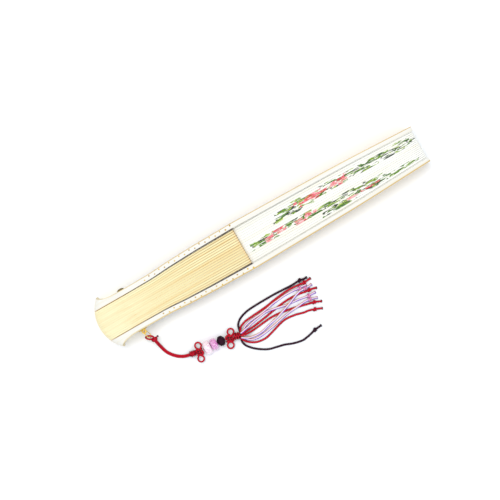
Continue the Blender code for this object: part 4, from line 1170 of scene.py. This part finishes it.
# How far the two outer ribs stand in from the guards at the shoulder
SLOT_AT_SHOULDER = 0.00045
END_GRAIN_REACH = 0.0011
ROUNDING_GRAIN_REACH = 0.0004
GUARD_GRAIN_REACH = 0.0008
SLOT_EASE = 0.6
# By how much half the height of one rib may differ from that of another
RIB_TALLER = (-0.00012, 0.00008)
# A rib's height wavers along it and differs from one side to the other by these amounts. The waves
# of ribs and crests are in radians to the metre.
RIB_WAVE = 0.00005
RIB_WAVES = 90
RIB_LEAN = 0.00003
SWAY_MAX = 6.3
# Rows of points along the outer ribs and the guards, as shares of half their thickness
RIB_ROW = 0.7
GUARD_ROWS = (-0.6, 0.0, 0.6)


class HANDFAN_OT_ribs(Operator):
    """Make the thin bamboo ribs, from their rounded heads to the slips inside the leaf"""

    bl_idname = "handfan.ribs"
    bl_label = "Ribs"

    def execute(self, context):
        sizes = context.scene.hand_fan_sizes
        rng = random.Random(sizes.seed)
        reaches = stations(
            -HEAD_REACH, (HEAD_MIDDLE_REACH, 4), (0.0, 14), (ROUND_START, 26), (SHOULDER_REACH, 6),
            (SLIP_END_REACH, 10),
        )
        for index in range(1, RIB_COUNT + 1):
            taller, lean = rng.uniform(*RIB_TALLER), rng.uniform(-1, 1)
            sway = rng.uniform(0, SWAY_MAX)
            outside = {1: -1.0, RIB_COUNT: 1.0}.get(index)

            def shape(reach, side_y, side_z):
                half, height, shift, end = SLIP_THICKNESS / 2, 0.0, 0.0, 0.0
                share = held(reach / SHOULDER_REACH)
                if reach < SHOULDER_REACH:
                    gap = blend(sizes.gap_at_head, sizes.gap_at_shoulder, share)
                    half = (rib_pitch(reach) - gap) / 2
                    if side_y == outside:
                        shift = outside * SLOT_AT_SHOULDER * share**SLOT_EASE
                    wave = RIB_WAVE * sin(reach * RIB_WAVES + sway)
                    height = taller + wave + RIB_LEAN * lean * side_y
                    end = held((reach - ROUND_START) / ROUNDING_GRAIN_REACH)
                    end = max(end, (END_GRAIN_REACH - reach - HEAD_REACH) / END_GRAIN_REACH)
                y = rib_layer(index, reach) + side_y * half - shift
                z = RIVET_Z + side_z * (rib_half_width(reach) + height)
                place = Vector((RIVET_X + head_x(reach, y), y, z))
                return place, float(side_y == outside), end, (1 + side_y) / 2

            name = f"rib_{index:02d}"
            rows = (outside * RIB_ROW,) if outside else ()
            rib = drill(shaped_bar("bamboo_" + name, reaches, rows, shape, "rib"))
            seat(round_edges(rib, sizes.stick_edge_round), name + "_body", "bamboo", name)
        return {"FINISHED"}


class HANDFAN_OT_guards(Operator):
    """Make the two thick outer sticks, flared at the head and drawn in at the tip"""

    bl_idname = "handfan.guards"
    bl_label = "Guards"

    def execute(self, context):
        reaches = stations(
            -HEAD_REACH, (HEAD_MIDDLE_REACH, 4), (0.0, 18), (SHOULDER_REACH, 22),
            (TIP_REACH - 0.002, 26), (TIP_REACH, 5),
        )
        for name, side in (("near", -1), ("far", 1)):

            def shape(reach, across, side_z):
                inner, outer = guard_inner(reach), guard_outer(reach)
                y = blend(inner, outer, (across + 1) / 2)
                end = max(0.0, (GUARD_GRAIN_REACH - reach - HEAD_REACH) / GUARD_GRAIN_REACH) * 0.5
                z = RIVET_Z + side_z * guard_half_width(reach)
                return Vector((RIVET_X + head_x(reach, y), side * y, z)), outer - y, end, y - inner

            guard = drill(shaped_bar("guard_" + name, reaches, GUARD_ROWS, shape, "guard"))
            round_edges(guard, context.scene.hand_fan_sizes.guard_edge_round, 3)
            seat(guard, name + "_guard_body", "pale_bamboo", name + "_guard")
        return {"FINISHED"}


def paper_strip(name, reaches, columns, place, opened, thickness, offset):
    """A grid of paper, made thick, with its open angle and reach as its UV map.

    A place function sets its points, and another one their open angle.
    """
    bm = bmesh.new()
    bmesh.ops.create_grid(bm, x_segments=len(reaches) - 1, y_segments=len(columns) - 1, size=0.5)
    across = bm.verts.layers.float.new("open_angle")
    along = bm.verts.layers.float.new("leaf_reach")
    for vert in bm.verts:
        reach = reaches[round((vert.co.x + 0.5) * (len(reaches) - 1))]
        column = columns[round((vert.co.y + 0.5) * (len(columns) - 1))]
        vert.co, vert[across], vert[along] = place(reach, column), opened(reach, column), reach
    set_uv(bm, lambda vert: (vert[across], vert[along]))
    obj = from_bmesh(bm, name, "paper", 60.0)
    paper = obj.modifiers.new("paper", "SOLIDIFY")
    paper.thickness, paper.offset, paper.use_even_offset = thickness, offset, True
    return obj


def fold_columns():
    """(offset across, side of the fold, drop from its round crest) of a fold's columns."""
    arc = [(-1 + 0.42 * (1 - cos(a)), 1, 1 - sin(a)) for a in steps(0, pi / 2, 4)]
    wall = [(-1, -1 + n / 2, 1.0 if n else 0.0) for n in range(4)]
    half = wall + arc + [(-0.25, 1, -0.06)]
    return half + [(0.0, 1, -0.1)] + [(-a, s, d) for a, s, d in reversed(half)]


def leaf_x(reach):
    return RIVET_X + reach * cos(PLEAT_HALF_ANGLE)


def stick_body(index):
    """The body of a stick, counted from the near guard."""
    guards = {0: "near_guard_body", RIB_COUNT + 1: "far_guard_body"}
    return guards.get(index, f"rib_{index:02d}_body")


class HANDFAN_OT_leaf(Operator):
    """Make the pleated leaf: a fold on each stick and the paper between one fold and the next"""

    bl_idname = "handfan.leaf"
    bl_label = "Paper leaf"

    def execute(self, context):
        rng = random.Random(context.scene.hand_fan_sizes.seed + 1)
        reaches = steps(LEAF_START, LEAF_END, 64)
        for index in range(RIB_COUNT + 2):
            is_panel = index > RIB_COUNT
            low, sway = 0.0, 0.0
            if not is_panel:
                low, sway = rng.uniform(0.0, CREST_DROP_MAX), rng.uniform(0, SWAY_MAX)

            def place(reach, column):
                across, side, drop = column
                width = END_PLEAT_WIDTH
                y = guard_inner(reach) - GLUE_GAP - END_PLEAT_WIDTH / 2
                if not index:
                    y = -y
                elif not is_panel:
                    past_slip = max(0.0, (reach - SLIP_END_REACH) / EASE_REACH)
                    width = rib_pitch(reach) - PLEAT_GAP - TIP_EASE * past_slip**2
                    y = rib_layer(index, reach)
                z = side * reach * sin(PLEAT_HALF_ANGLE)
                if side > 0:
                    wave = CREST_WAVE * (1 + sin(reach * CREST_WAVES + sway))
                    z -= drop * PLEAT_CREST
                    z -= 0.0 if is_panel else low + wave
                return Vector((leaf_x(reach), y + across * width / 2, RIVET_Z + z))

            def opened(reach, column):
                crest = CREST_SPREAD * column[0] if column[1] == 1 and not is_panel else 0.0
                return index * STEP_ANGLE + column[1] * PLEAT_HALF_ANGLE + crest

            name = "leaf_end_panel" if is_panel else f"leaf_fold_{index:02d}"
            fold = paper_strip(name, reaches, fold_columns(), place, opened, PAPER_THICKNESS, -1.0)
            node_name = "end_panel" if is_panel else f"pleat_{index:02d}"
            seat(fold, stick_body(index), "printed_paper", node_name)
        self.make_joins(reaches)
        return {"FINISHED"}

    @staticmethod
    def make_joins(reaches):
        """Thin paper in the gap between two folds, which spreads as its two sticks turn apart."""
        for index in range(RIB_COUNT + 1):
            shift = END_JOIN_SHIFTS.get(index, 0.0)

            def place(reach, side):
                y = (index - RIB_COUNT / 2) * rib_pitch(reach) + shift
                return Vector((leaf_x(reach), y, RIVET_Z + side * JOIN_HALF_HEIGHT))

            def opened(reach, side):
                t = (1 - side * JOIN_HALF_HEIGHT / JOIN_BLEND_HEIGHT) / 2
                return (index + t * t * (3 - 2 * t)) * STEP_ANGLE + side * JOIN_HALF_HEIGHT / reach

            name = f"leaf_join_{index:02d}"
            sides = steps(1.0, -1.0, 24)
            join = bake(paper_strip(name, reaches, sides, place, opened, JOIN_THICKNESS, 0.0))
            start, end = ((0, 0, RIVET_Z + up * JOIN_BLEND_HEIGHT) for up in (1, -1))
            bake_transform(join, stick_body(index), stick_body(index + 1), start=start, end=end)


# (radius, height) profiles of the rivet's parts
WASHER = (
    (0.0015, 0.0), (0.0028, 0.0), (0.0030, 0.0001), (0.0030, 0.0003), (0.0028, 0.0004),
    (0.0016, 0.0004), (0.0015, 0.0003),
)
CAP_UNDERSIDE = [(0.00135, 0.0), (0.00135, 0.0008), (0.0, 0.0008)]
CAP_RADIUS = 0.0024
CAP_HEIGHT = 0.0012
PIN_RADIUS = 0.0012
# The pin's head, with heights from the face that the eye lies on
PIN_HEAD = (
    (0.0, 0.00035), (0.0015, 0.00035), (0.0020, 0.0003), (0.0021, 0.0002), (0.0021, 0.00005),
    (0.0020, 0.0), (PIN_RADIUS, 0.0),
)
PIN_TIP_RADIUS = 0.0011
PIN_TIP_BEVEL = 0.0002
# How far out from the guards the washer and the cap, the eye's face and the pin's tip lie
SEAT_GAP = 0.00015
EYE_FACE_REACH = 0.0007
PIN_TIP_REACH = 0.0008
EYE_RADIUS = 0.0011
EYE_WIRE_DIAMETER = 0.0009


class HANDFAN_OT_rivet(Operator):
    """Make the brass pin with its pierced eye, the washer and the domed cap"""

    bl_idname = "handfan.rivet"
    bl_label = "Rivet"

    def execute(self, context):
        face = guard_outer(0)
        eye_face, tip = face + EYE_FACE_REACH, face + PIN_TIP_REACH

        def seat_solid(name, profile, y, axis_y, material, node_name):
            place, axis = (RIVET_X, y, RIVET_Z), (0, axis_y, 0)
            solid = spin_solid(name, profile, place, axis, material)
            seat(solid, "near_guard_body", "brass", node_name)

        seat_solid("brass_washer", WASHER, -face - SEAT_GAP, -1, "brass", "near_washer")
        cap = half_oval(CAP_RADIUS, CAP_HEIGHT, 10, pi / 2) + CAP_UNDERSIDE
        seat_solid("brass_cap", cap, face + SEAT_GAP, 1, "old_brass", "far_cap")
        pin = [(radius, eye_face + height) for radius, height in PIN_HEAD]
        pin += [(PIN_RADIUS, 0.0), (PIN_RADIUS, -tip + PIN_TIP_BEVEL), (PIN_TIP_RADIUS, -tip)]
        pin.append((0.0, -tip))
        seat_solid("brass_pin", pin, 0, -1, "brass", "rivet_eye_pin")
        centre = Vector((RIVET_X, EYE_Y, RIVET_Z))
        ring = [Vector((cos(a), sin(a), 0)) for a in angles_round(40)]
        eye = wire("brass_eye", [centre + p * EYE_RADIUS for p in ring], EYE_WIRE_DIAMETER)
        seat(eye, "near_guard_body", "brass")
        return {"FINISHED"}


LINK_HALF_WIDTH = 0.0018
LINK_CENTRES = (0.0018, 0.0040)
LINK_LEAN = radians(20.0)
LINK_TURN = radians(35.0)
LINK_WIRE_DIAMETER = 0.0006


class HANDFAN_OT_link(Operator):
    """Make the wire link that hangs in the rivet's eye"""

    bl_idname = "handfan.link"
    bl_label = "Wire link"

    def execute(self, context):
        sine, cosine = sin(LINK_LEAN), cos(LINK_LEAN)
        out = Vector((sine * cosine, -cosine * cosine, -sine))
        up = Vector((sine * sine, -cosine * sine, cosine))
        origin, turn = Vector((RIVET_X, EYE_Y, RIVET_Z)), Matrix.Rotation(LINK_TURN, 3, out)
        points = []
        for centre, start in zip(LINK_CENTRES, (pi / 2, -pi / 2)):
            for angle in steps(start, start + pi, 14):
                along = centre + LINK_HALF_WIDTH * cos(angle)
                points.append(origin + turn @ (out * along + up * (LINK_HALF_WIDTH * sin(angle))))
        hang(wire("wire_link", points, LINK_WIRE_DIAMETER), "brass", "link")
        return {"FINISHED"}


class HANDFAN_OT_hanger(Operator):
    """Make the doubled cord from the wire link to the first collar, and the small knot on it"""

    bl_idname = "handfan.hanger"
    bl_label = "Hanging cord"

    def execute(self, context):
        centre = mm_points(HANGER_ROUTE_MM)
        legs = {1: [], -1: []}
        for n, point in enumerate(centre):
            across = leftward(centre, n) * HANGER_HALF_SPACING
            for side, leg in legs.items():
                leg.append(point + across * side)
        middle, far, near = mm_points(HITCH_LOOP_MM)
        turn = steps(-HITCH_LOOP_OPENING, HITCH_LOOP_OPENING - TURN, 12)
        loop = [middle + far * cos(a) + near * sin(a) for a in turn]
        route = legs[-1][::-1] + loop + legs[1]
        points = laid(smooth_route(route, CORD_STEP), CORD_DIAMETER / 2)
        hanger = red_cord("hanging_cord", [points], "hanger_cord")
        matrix = posed(HITCH_MM)[2]
        wraps = wound(matrix, HITCH_WRAP, HITCH_TURNS, 50)
        hitch = red_cord("hitch_knot_wraps", [wraps], "hitch_knot", diameter=KNOT_CORD_DIAMETER)
        root, way = matrix @ Vector(STUB_ROOT), Vector(STUB_WAY)
        stub_points = [root + way * share for share in steps(0, 1, 8)]
        stub = red_cord("hitch_stub", [stub_points], diameter=KNOT_CORD_DIAMETER)
        oval = half_oval(*BURNT_TIP, 10)
        tip = spin_solid("hitch_burnt_end", oval, root + way, (1, 0.3, 0), "burnt", 20)
        hang(tip, "red_cord")
        declare_cord(hanger, points, CORD_DIAMETER, "object", hitch, stub, tip)
        return {"FINISHED"}


# The woven knots: the cord is thinner in the weave, and a dark core of painted shade fills its gaps
KNOT_WIDTH = 0.0046
KNOT_PASSES = 3
KNOT_STEP = 0.0003
KNOT_CORD_SHARE = 0.74
KNOT_SHADE_CORE = (0.0022, 0.0005)
WEAVE_LIFT = 0.62
EAR_RADIUS = 0.0020
EAR_HALF_TURN = 2.25
EAR_FOOT = 0.0007
# The collars' plait: how far round each cord goes, and how far it moves out and in, in diameters
PLAIT_TURNS = 0.95
PLAIT_WAVE = 0.42
PLAIT_INSET = 0.2


def weave(matrix, length, width, passes, cord_radius):
    """Runs of a flat woven knot: two serpentines that go over and under each other."""
    runs = []
    for which, reach, lane_width, crossing in (
        (0, length / 2, width / passes, length / passes),
        (1, width / 2, length / passes, width / passes),
    ):
        points = []
        for n in range(passes):
            lane = (n - (passes - 1) / 2) * lane_width
            sign = 1 if (n + which) % 2 else -1
            for t in steps(-reach, reach, 20)[:: -1 if n % 2 else 1]:
                phase = pi * (t / crossing + (passes - 1) / 2)
                lift = sign * cord_radius * WEAVE_LIFT * cos(phase)
                points.append(Vector((lane, t, lift) if which else (t, lane, lift)))
        runs.append([matrix @ p for p in smooth_route(points, KNOT_STEP)])
    return runs


def plait(matrix, length, radius, cord):
    """Runs of a round plait: cords that wind both ways and pass over and under one another."""
    runs = []
    for way in (1, -1):
        for start in angles_round(3):
            points = []
            for share in steps(0.0, 1.0, 40):
                angle = way * (TURN * PLAIT_TURNS * share + start)
                r = radius + cord * (PLAIT_WAVE * way * cos(3 * angle) - PLAIT_INSET)
                x = length * (share - 0.5)
                points.append(matrix @ Vector((x, r * cos(angle), r * sin(angle))))
            runs.append(points)
    return runs


def ear(matrix, side, centre_x, width, radius):
    """Points of a knot's side loop: out of the knot, round and back."""
    middle = side * (width / 2 + radius * 0.92)
    loop = []
    for angle in steps(-EAR_HALF_TURN, EAR_HALF_TURN, 18):
        x, y = centre_x + radius * sin(angle), middle + side * radius * cos(angle)
        loop.append((x, y, -0.0003))
    out, back = (
        [(centre_x + x, side * width * share, 0.0002) for share in (0.2, 0.42)]
        for x in (-EAR_FOOT, EAR_FOOT)
    )
    return [matrix @ Vector(p) for p in out + loop + back[::-1]]


class HANDFAN_OT_knots(Operator):
    """Make the woven knots with their side loops, and the wound collars beside them"""

    bl_idname = "handfan.knots"
    bl_label = "Knots and collars"

    def execute(self, context):
        for label, pose_mm, length, shifts in (
            ("upper", KNOT_1_MM, 0.0043, (0.0006, -0.0010)),
            ("lower", KNOT_2_MM, 0.0050, (0.0014, -0.0002)),
        ):
            place, _, matrix = posed(pose_mm)
            woven = weave(matrix, length, KNOT_WIDTH, KNOT_PASSES, CORD_DIAMETER / 2)
            runs = [(run, [KNOT_CORD_SHARE] * len(run)) for run in woven]
            for side, shift in zip((1, -1), shifts):
                side_loop = ear(matrix, side, shift, KNOT_WIDTH, EAR_RADIUS)
                runs.append(smooth_route(side_loop, KNOT_STEP))
            name = "woven_knot_" + label
            red_cord(name, runs, "clover_knot_" + label)
            # A near-black core under the weave, as painted shade in its gaps
            up, oval = matrix.to_3x3() @ Vector((0, 0, 1)), half_oval(*KNOT_SHADE_CORE, 12)
            hang(spin_solid(name + "_core", oval, place, up, "crevice", 24), "red_cord")
        cord = COLLAR_CORD_DIAMETER
        for label, pose_mm, length, radius in (
            ("upper", COLLAR_1_MM, 0.0034, 0.0019), ("lower", COLLAR_2_MM, 0.0042, 0.0023),
        ):
            (place, direction, matrix), name = posed(pose_mm), "plaited_collar_" + label
            runs = plait(matrix, length, radius - cord / 2, cord)
            red_cord(name, runs, "collar_" + label, diameter=cord)
            # A near-black core inside the plait, as painted shade between its cords
            half = [(0.0, length * 0.46), (radius * 0.62, length * 0.44)]
            profile = half + [(r, -height) for r, height in half[::-1]]
            hang(spin_solid(name + "_core", profile, place, direction, "crevice", 24), "red_cord")
        return {"FINISHED"}


BEAD_BORE = 0.0007
# Place along the thread, length, radius, flutes and (rise, swell) shares of each glass bead's half
GLASS_BEADS = {
    "pink": (0.0, 0.0047, 0.0045, 10, (
        (0.0, 1.0), (0.42, 0.985), (0.68, 0.93), (0.84, 0.82), (0.95, 0.6), (1.0, 0.3),
    )),
    "orchid": (0.5, 0.0045, 0.0038, 8, (
        (0.0, 1.0), (0.5, 0.98), (0.72, 0.92), (0.88, 0.76), (0.97, 0.5), (1.0, 0.26),
    )),
}
# Depth and twist of the beads' flutes, and the share of its radius that a bead is drawn in to
FLUTE_DEPTH = 0.035
FLUTE_TWIST = 1.2
BEAD_SHARE = 0.965
# The ball's rounds of cord each lie a little inside the one before, on a core
BALL_SHIFT = 0.0003
BALL_LAYER = 0.00012
BALL_SPREAD = 1.05
BALL_CORE = (0.0026, 0.0020)
# How far the thread goes past both ends of the beads' axis, as a share of it
THREAD_PAST = 0.29
BALL_RADIUS = 0.0034
BALL_SQUASH = 0.0055 / 0.0068
BALL_CORD_DIAMETER = 0.0011


class HANDFAN_OT_beads(Operator):
    """Make the two glass beads, the knotted ball and the cord that they are threaded on"""

    bl_idname = "handfan.beads"
    bl_label = "Beads"

    def execute(self, context):
        start, end = (Vector(p) * MM for p in BEAD_AXIS_MM)
        direction = (end - start).normalized()
        for name, (share, length, radius, flutes, shares) in GLASS_BEADS.items():
            half = [(BEAD_BORE, length / 2)]
            for rise, swell in shares[::-1]:
                half.append((BEAD_BORE + (radius - BEAD_BORE) * swell, length / 2 * rise))
            profile = half + [(r, -height) for r, height in half[-2::-1]]

            def lumps(co):
                angle, flat = atan2(co.y, co.x), hypot(co.x, co.y) / radius
                wave = cos(flutes * angle + FLUTE_TWIST * sin(co.z / length * 4))
                push = BEAD_SHARE * (1 + FLUTE_DEPTH * flat * wave)
                return Vector((co.x * push, co.y * push, co.z))

            place, title = start.lerp(end, share), "glass_bead_" + name
            bead = spin_solid(title, profile, place, direction, name + "_glass", 80, lumps)
            hang(bead, name + "_bead", "bead_" + name)
        end += direction * BALL_SHIFT
        matrix, runs = frame_at(end, direction), []
        for axis in range(3):
            reach = BALL_RADIUS - BALL_CORD_DIAMETER / 2 - BALL_LAYER * axis
            for lane in (-1, 0, 1):
                offset = lane * BALL_CORD_DIAMETER * BALL_SPREAD
                ring_radius, ring = sqrt(reach * reach - offset * offset), []
                for angle in angles_round(36):
                    p = [ring_radius * cos(angle), ring_radius * sin(angle)]
                    p.insert(axis, offset)
                    ring.append(matrix @ Vector((p[0] * BALL_SQUASH, p[1], p[2])))
                runs.append(ring)
        ball = cord_mesh("knotted_ball", runs, BALL_CORD_DIAMETER, "plum", closed=True)
        hang(ball, "plum_cord", "bead_plum_ball")
        oval = half_oval(*BALL_CORE, 14)
        hang(spin_solid("knotted_ball_core", oval, end, direction, "plum", 28), "plum_cord")
        points = [start.lerp(end, share) for share in steps(-THREAD_PAST, 1 + THREAD_PAST, 30)]
        red_cord("bead_thread", [points], "bead_cord")
        return {"FINISHED"}


STRAND_LOBE_DEPTH = 0.06
# A strand's melted end swells over its last stretch
SWELL_REACH = 0.0011
SWELL = 0.4
# The least height of the middle of a tie's cord above the floor
TIE_HEIGHT = 0.00055


class HANDFAN_OT_strands(Operator):
    """Make the ten loose strands of the tassel, each with a tied knot near its end"""

    bl_idname = "handfan.strands"
    bl_label = "Strands"

    def execute(self, context):
        for name, route_mm in STRAND_ROUTES_MM.items():
            colour = name.split("_")[1]
            points = laid(smooth_route(mm_points(route_mm), CORD_STEP), STRAND_DIAMETER / 2)
            left, radii = distances(points)[-1], []
            for n, point in enumerate(points):
                left -= (point - points[n - 1]).length if n else 0.0
                radii.append(1.0 + SWELL * max(0.0, 1 - left / SWELL_REACH))
                point.z = max(point.z, STRAND_DIAMETER / 2 * radii[-1])
            is_pale = colour == "pale"
            strand = cord_mesh(
                name + "_cord", [(points, radii)], STRAND_DIAMETER, colour, depth=STRAND_LOBE_DEPTH,
                level=is_pale,
            )
            hang(strand, colour + "_cord", name)
            tie = self.make_tie(name, points, "pink" if is_pale else colour)
            hang(tie, colour + "_cord")
            declare_cord(strand, points, STRAND_DIAMETER, "knot", tie)
        return {"FINISHED"}

    @staticmethod
    def make_tie(name, points, material):
        """A small overhand knot round the strand."""
        gone = distances(points)
        k = max(n for n, place in enumerate(gone) if gone[-1] - place >= TIE_FROM_END)
        matrix = frame_at(points[k], points[k + 2] - points[k - 2])
        wraps = laid(wound(matrix, TIE_WRAP, TIE_TURNS, 40, TIE_SLANT), TIE_HEIGHT)
        return cord_mesh(name + "_tie", [wraps], KNOT_CORD_DIAMETER, material)


class HANDFAN_OT_stage(Operator):
    """Make the white floor, the soft studio lights and the camera over the fan"""

    bl_idname = "handfan.stage"
    bl_label = "Stage"

    def execute(self, context):
        scene = context.scene
        scene.view_settings.view_transform = "Standard"
        bm = bmesh.new()
        bmesh.ops.create_grid(bm, x_segments=1, y_segments=1, size=FLOOR_HALF_SIZE)
        from_bmesh(bm, "floor", "floor")
        # White to the camera and in reflections, and a little dimmer as a light
        world = bpy.data.worlds.new("studio")
        scene.world = world
        world.use_nodes = True
        path = node("ShaderNodeLightPath", {}, world.node_tree)
        seen = [path[f"Is {ray} Ray"] for ray in ("Transmission", "Glossy", "Camera")]
        colour = mix(most(seen), AMBIENT, (1.0, 1.0, 1.0))
        plug(world.node_tree.nodes["Background"].inputs["Color"], colour)
        for name, size, power, colour, place in LIGHTS:
            lamp = bpy.data.lights.new(name, "AREA")
            lamp.shape, lamp.size, lamp.energy, lamp.color = "DISK", size, power, colour
            obj = new_object(name, lamp)
            obj.location = place
            obj.rotation_mode = "QUATERNION"
            obj.rotation_quaternion = (-Vector(place)).to_track_quat("-Z", "Y")
        camera = bpy.data.cameras.new("camera")
        camera.lens, (camera.clip_start, camera.clip_end) = CAMERA_LENS, CAMERA_CLIP
        obj = new_object("camera", camera)
        obj.location = CAMERA_PLACE
        obj.rotation_euler = (0.0, 0.0, -CAMERA_ROLL)
        scene.camera = obj
        return {"FINISHED"}


class HANDFAN_PT_panel(Panel):
    """Buttons and values of the fan"""

    bl_label = "Hand fan"
    bl_idname = "HANDFAN_PT_panel"
    bl_space_type = "VIEW_3D"
    bl_region_type = "UI"
    bl_category = "Hand fan"

    def draw(self, context):
        layout = self.layout
        for group in (context.scene.hand_fan_sizes, context.scene.hand_fan_colours):
            box = layout.box()
            for label in group.__annotations__:
                box.prop(group, label)
        for operator in OPERATORS:
            layout.operator(operator.bl_idname)


OPERATORS = (
    HANDFAN_OT_stage, HANDFAN_OT_hanger, HANDFAN_OT_strands, HANDFAN_OT_ribs, HANDFAN_OT_guards,
    HANDFAN_OT_leaf, HANDFAN_OT_rivet, HANDFAN_OT_link, HANDFAN_OT_knots, HANDFAN_OT_beads,
)
CLASSES = (HandFanSizes, HandFanColours, *OPERATORS, HANDFAN_PT_panel)


def register():
    for kind in CLASSES:
        bpy.utils.register_class(kind)
    bpy.types.Scene.hand_fan_sizes = PointerProperty(type=HandFanSizes)
    bpy.types.Scene.hand_fan_colours = PointerProperty(type=HandFanColours)


def unregister():
    del bpy.types.Scene.hand_fan_colours
    del bpy.types.Scene.hand_fan_sizes
    for kind in reversed(CLASSES):
        bpy.utils.unregister_class(kind)


def main():
    register()
    for operator in OPERATORS:
        group, name = operator.bl_idname.split(".")
        getattr(getattr(bpy.ops, group), name)()


if __name__ == "__main__":
    main()
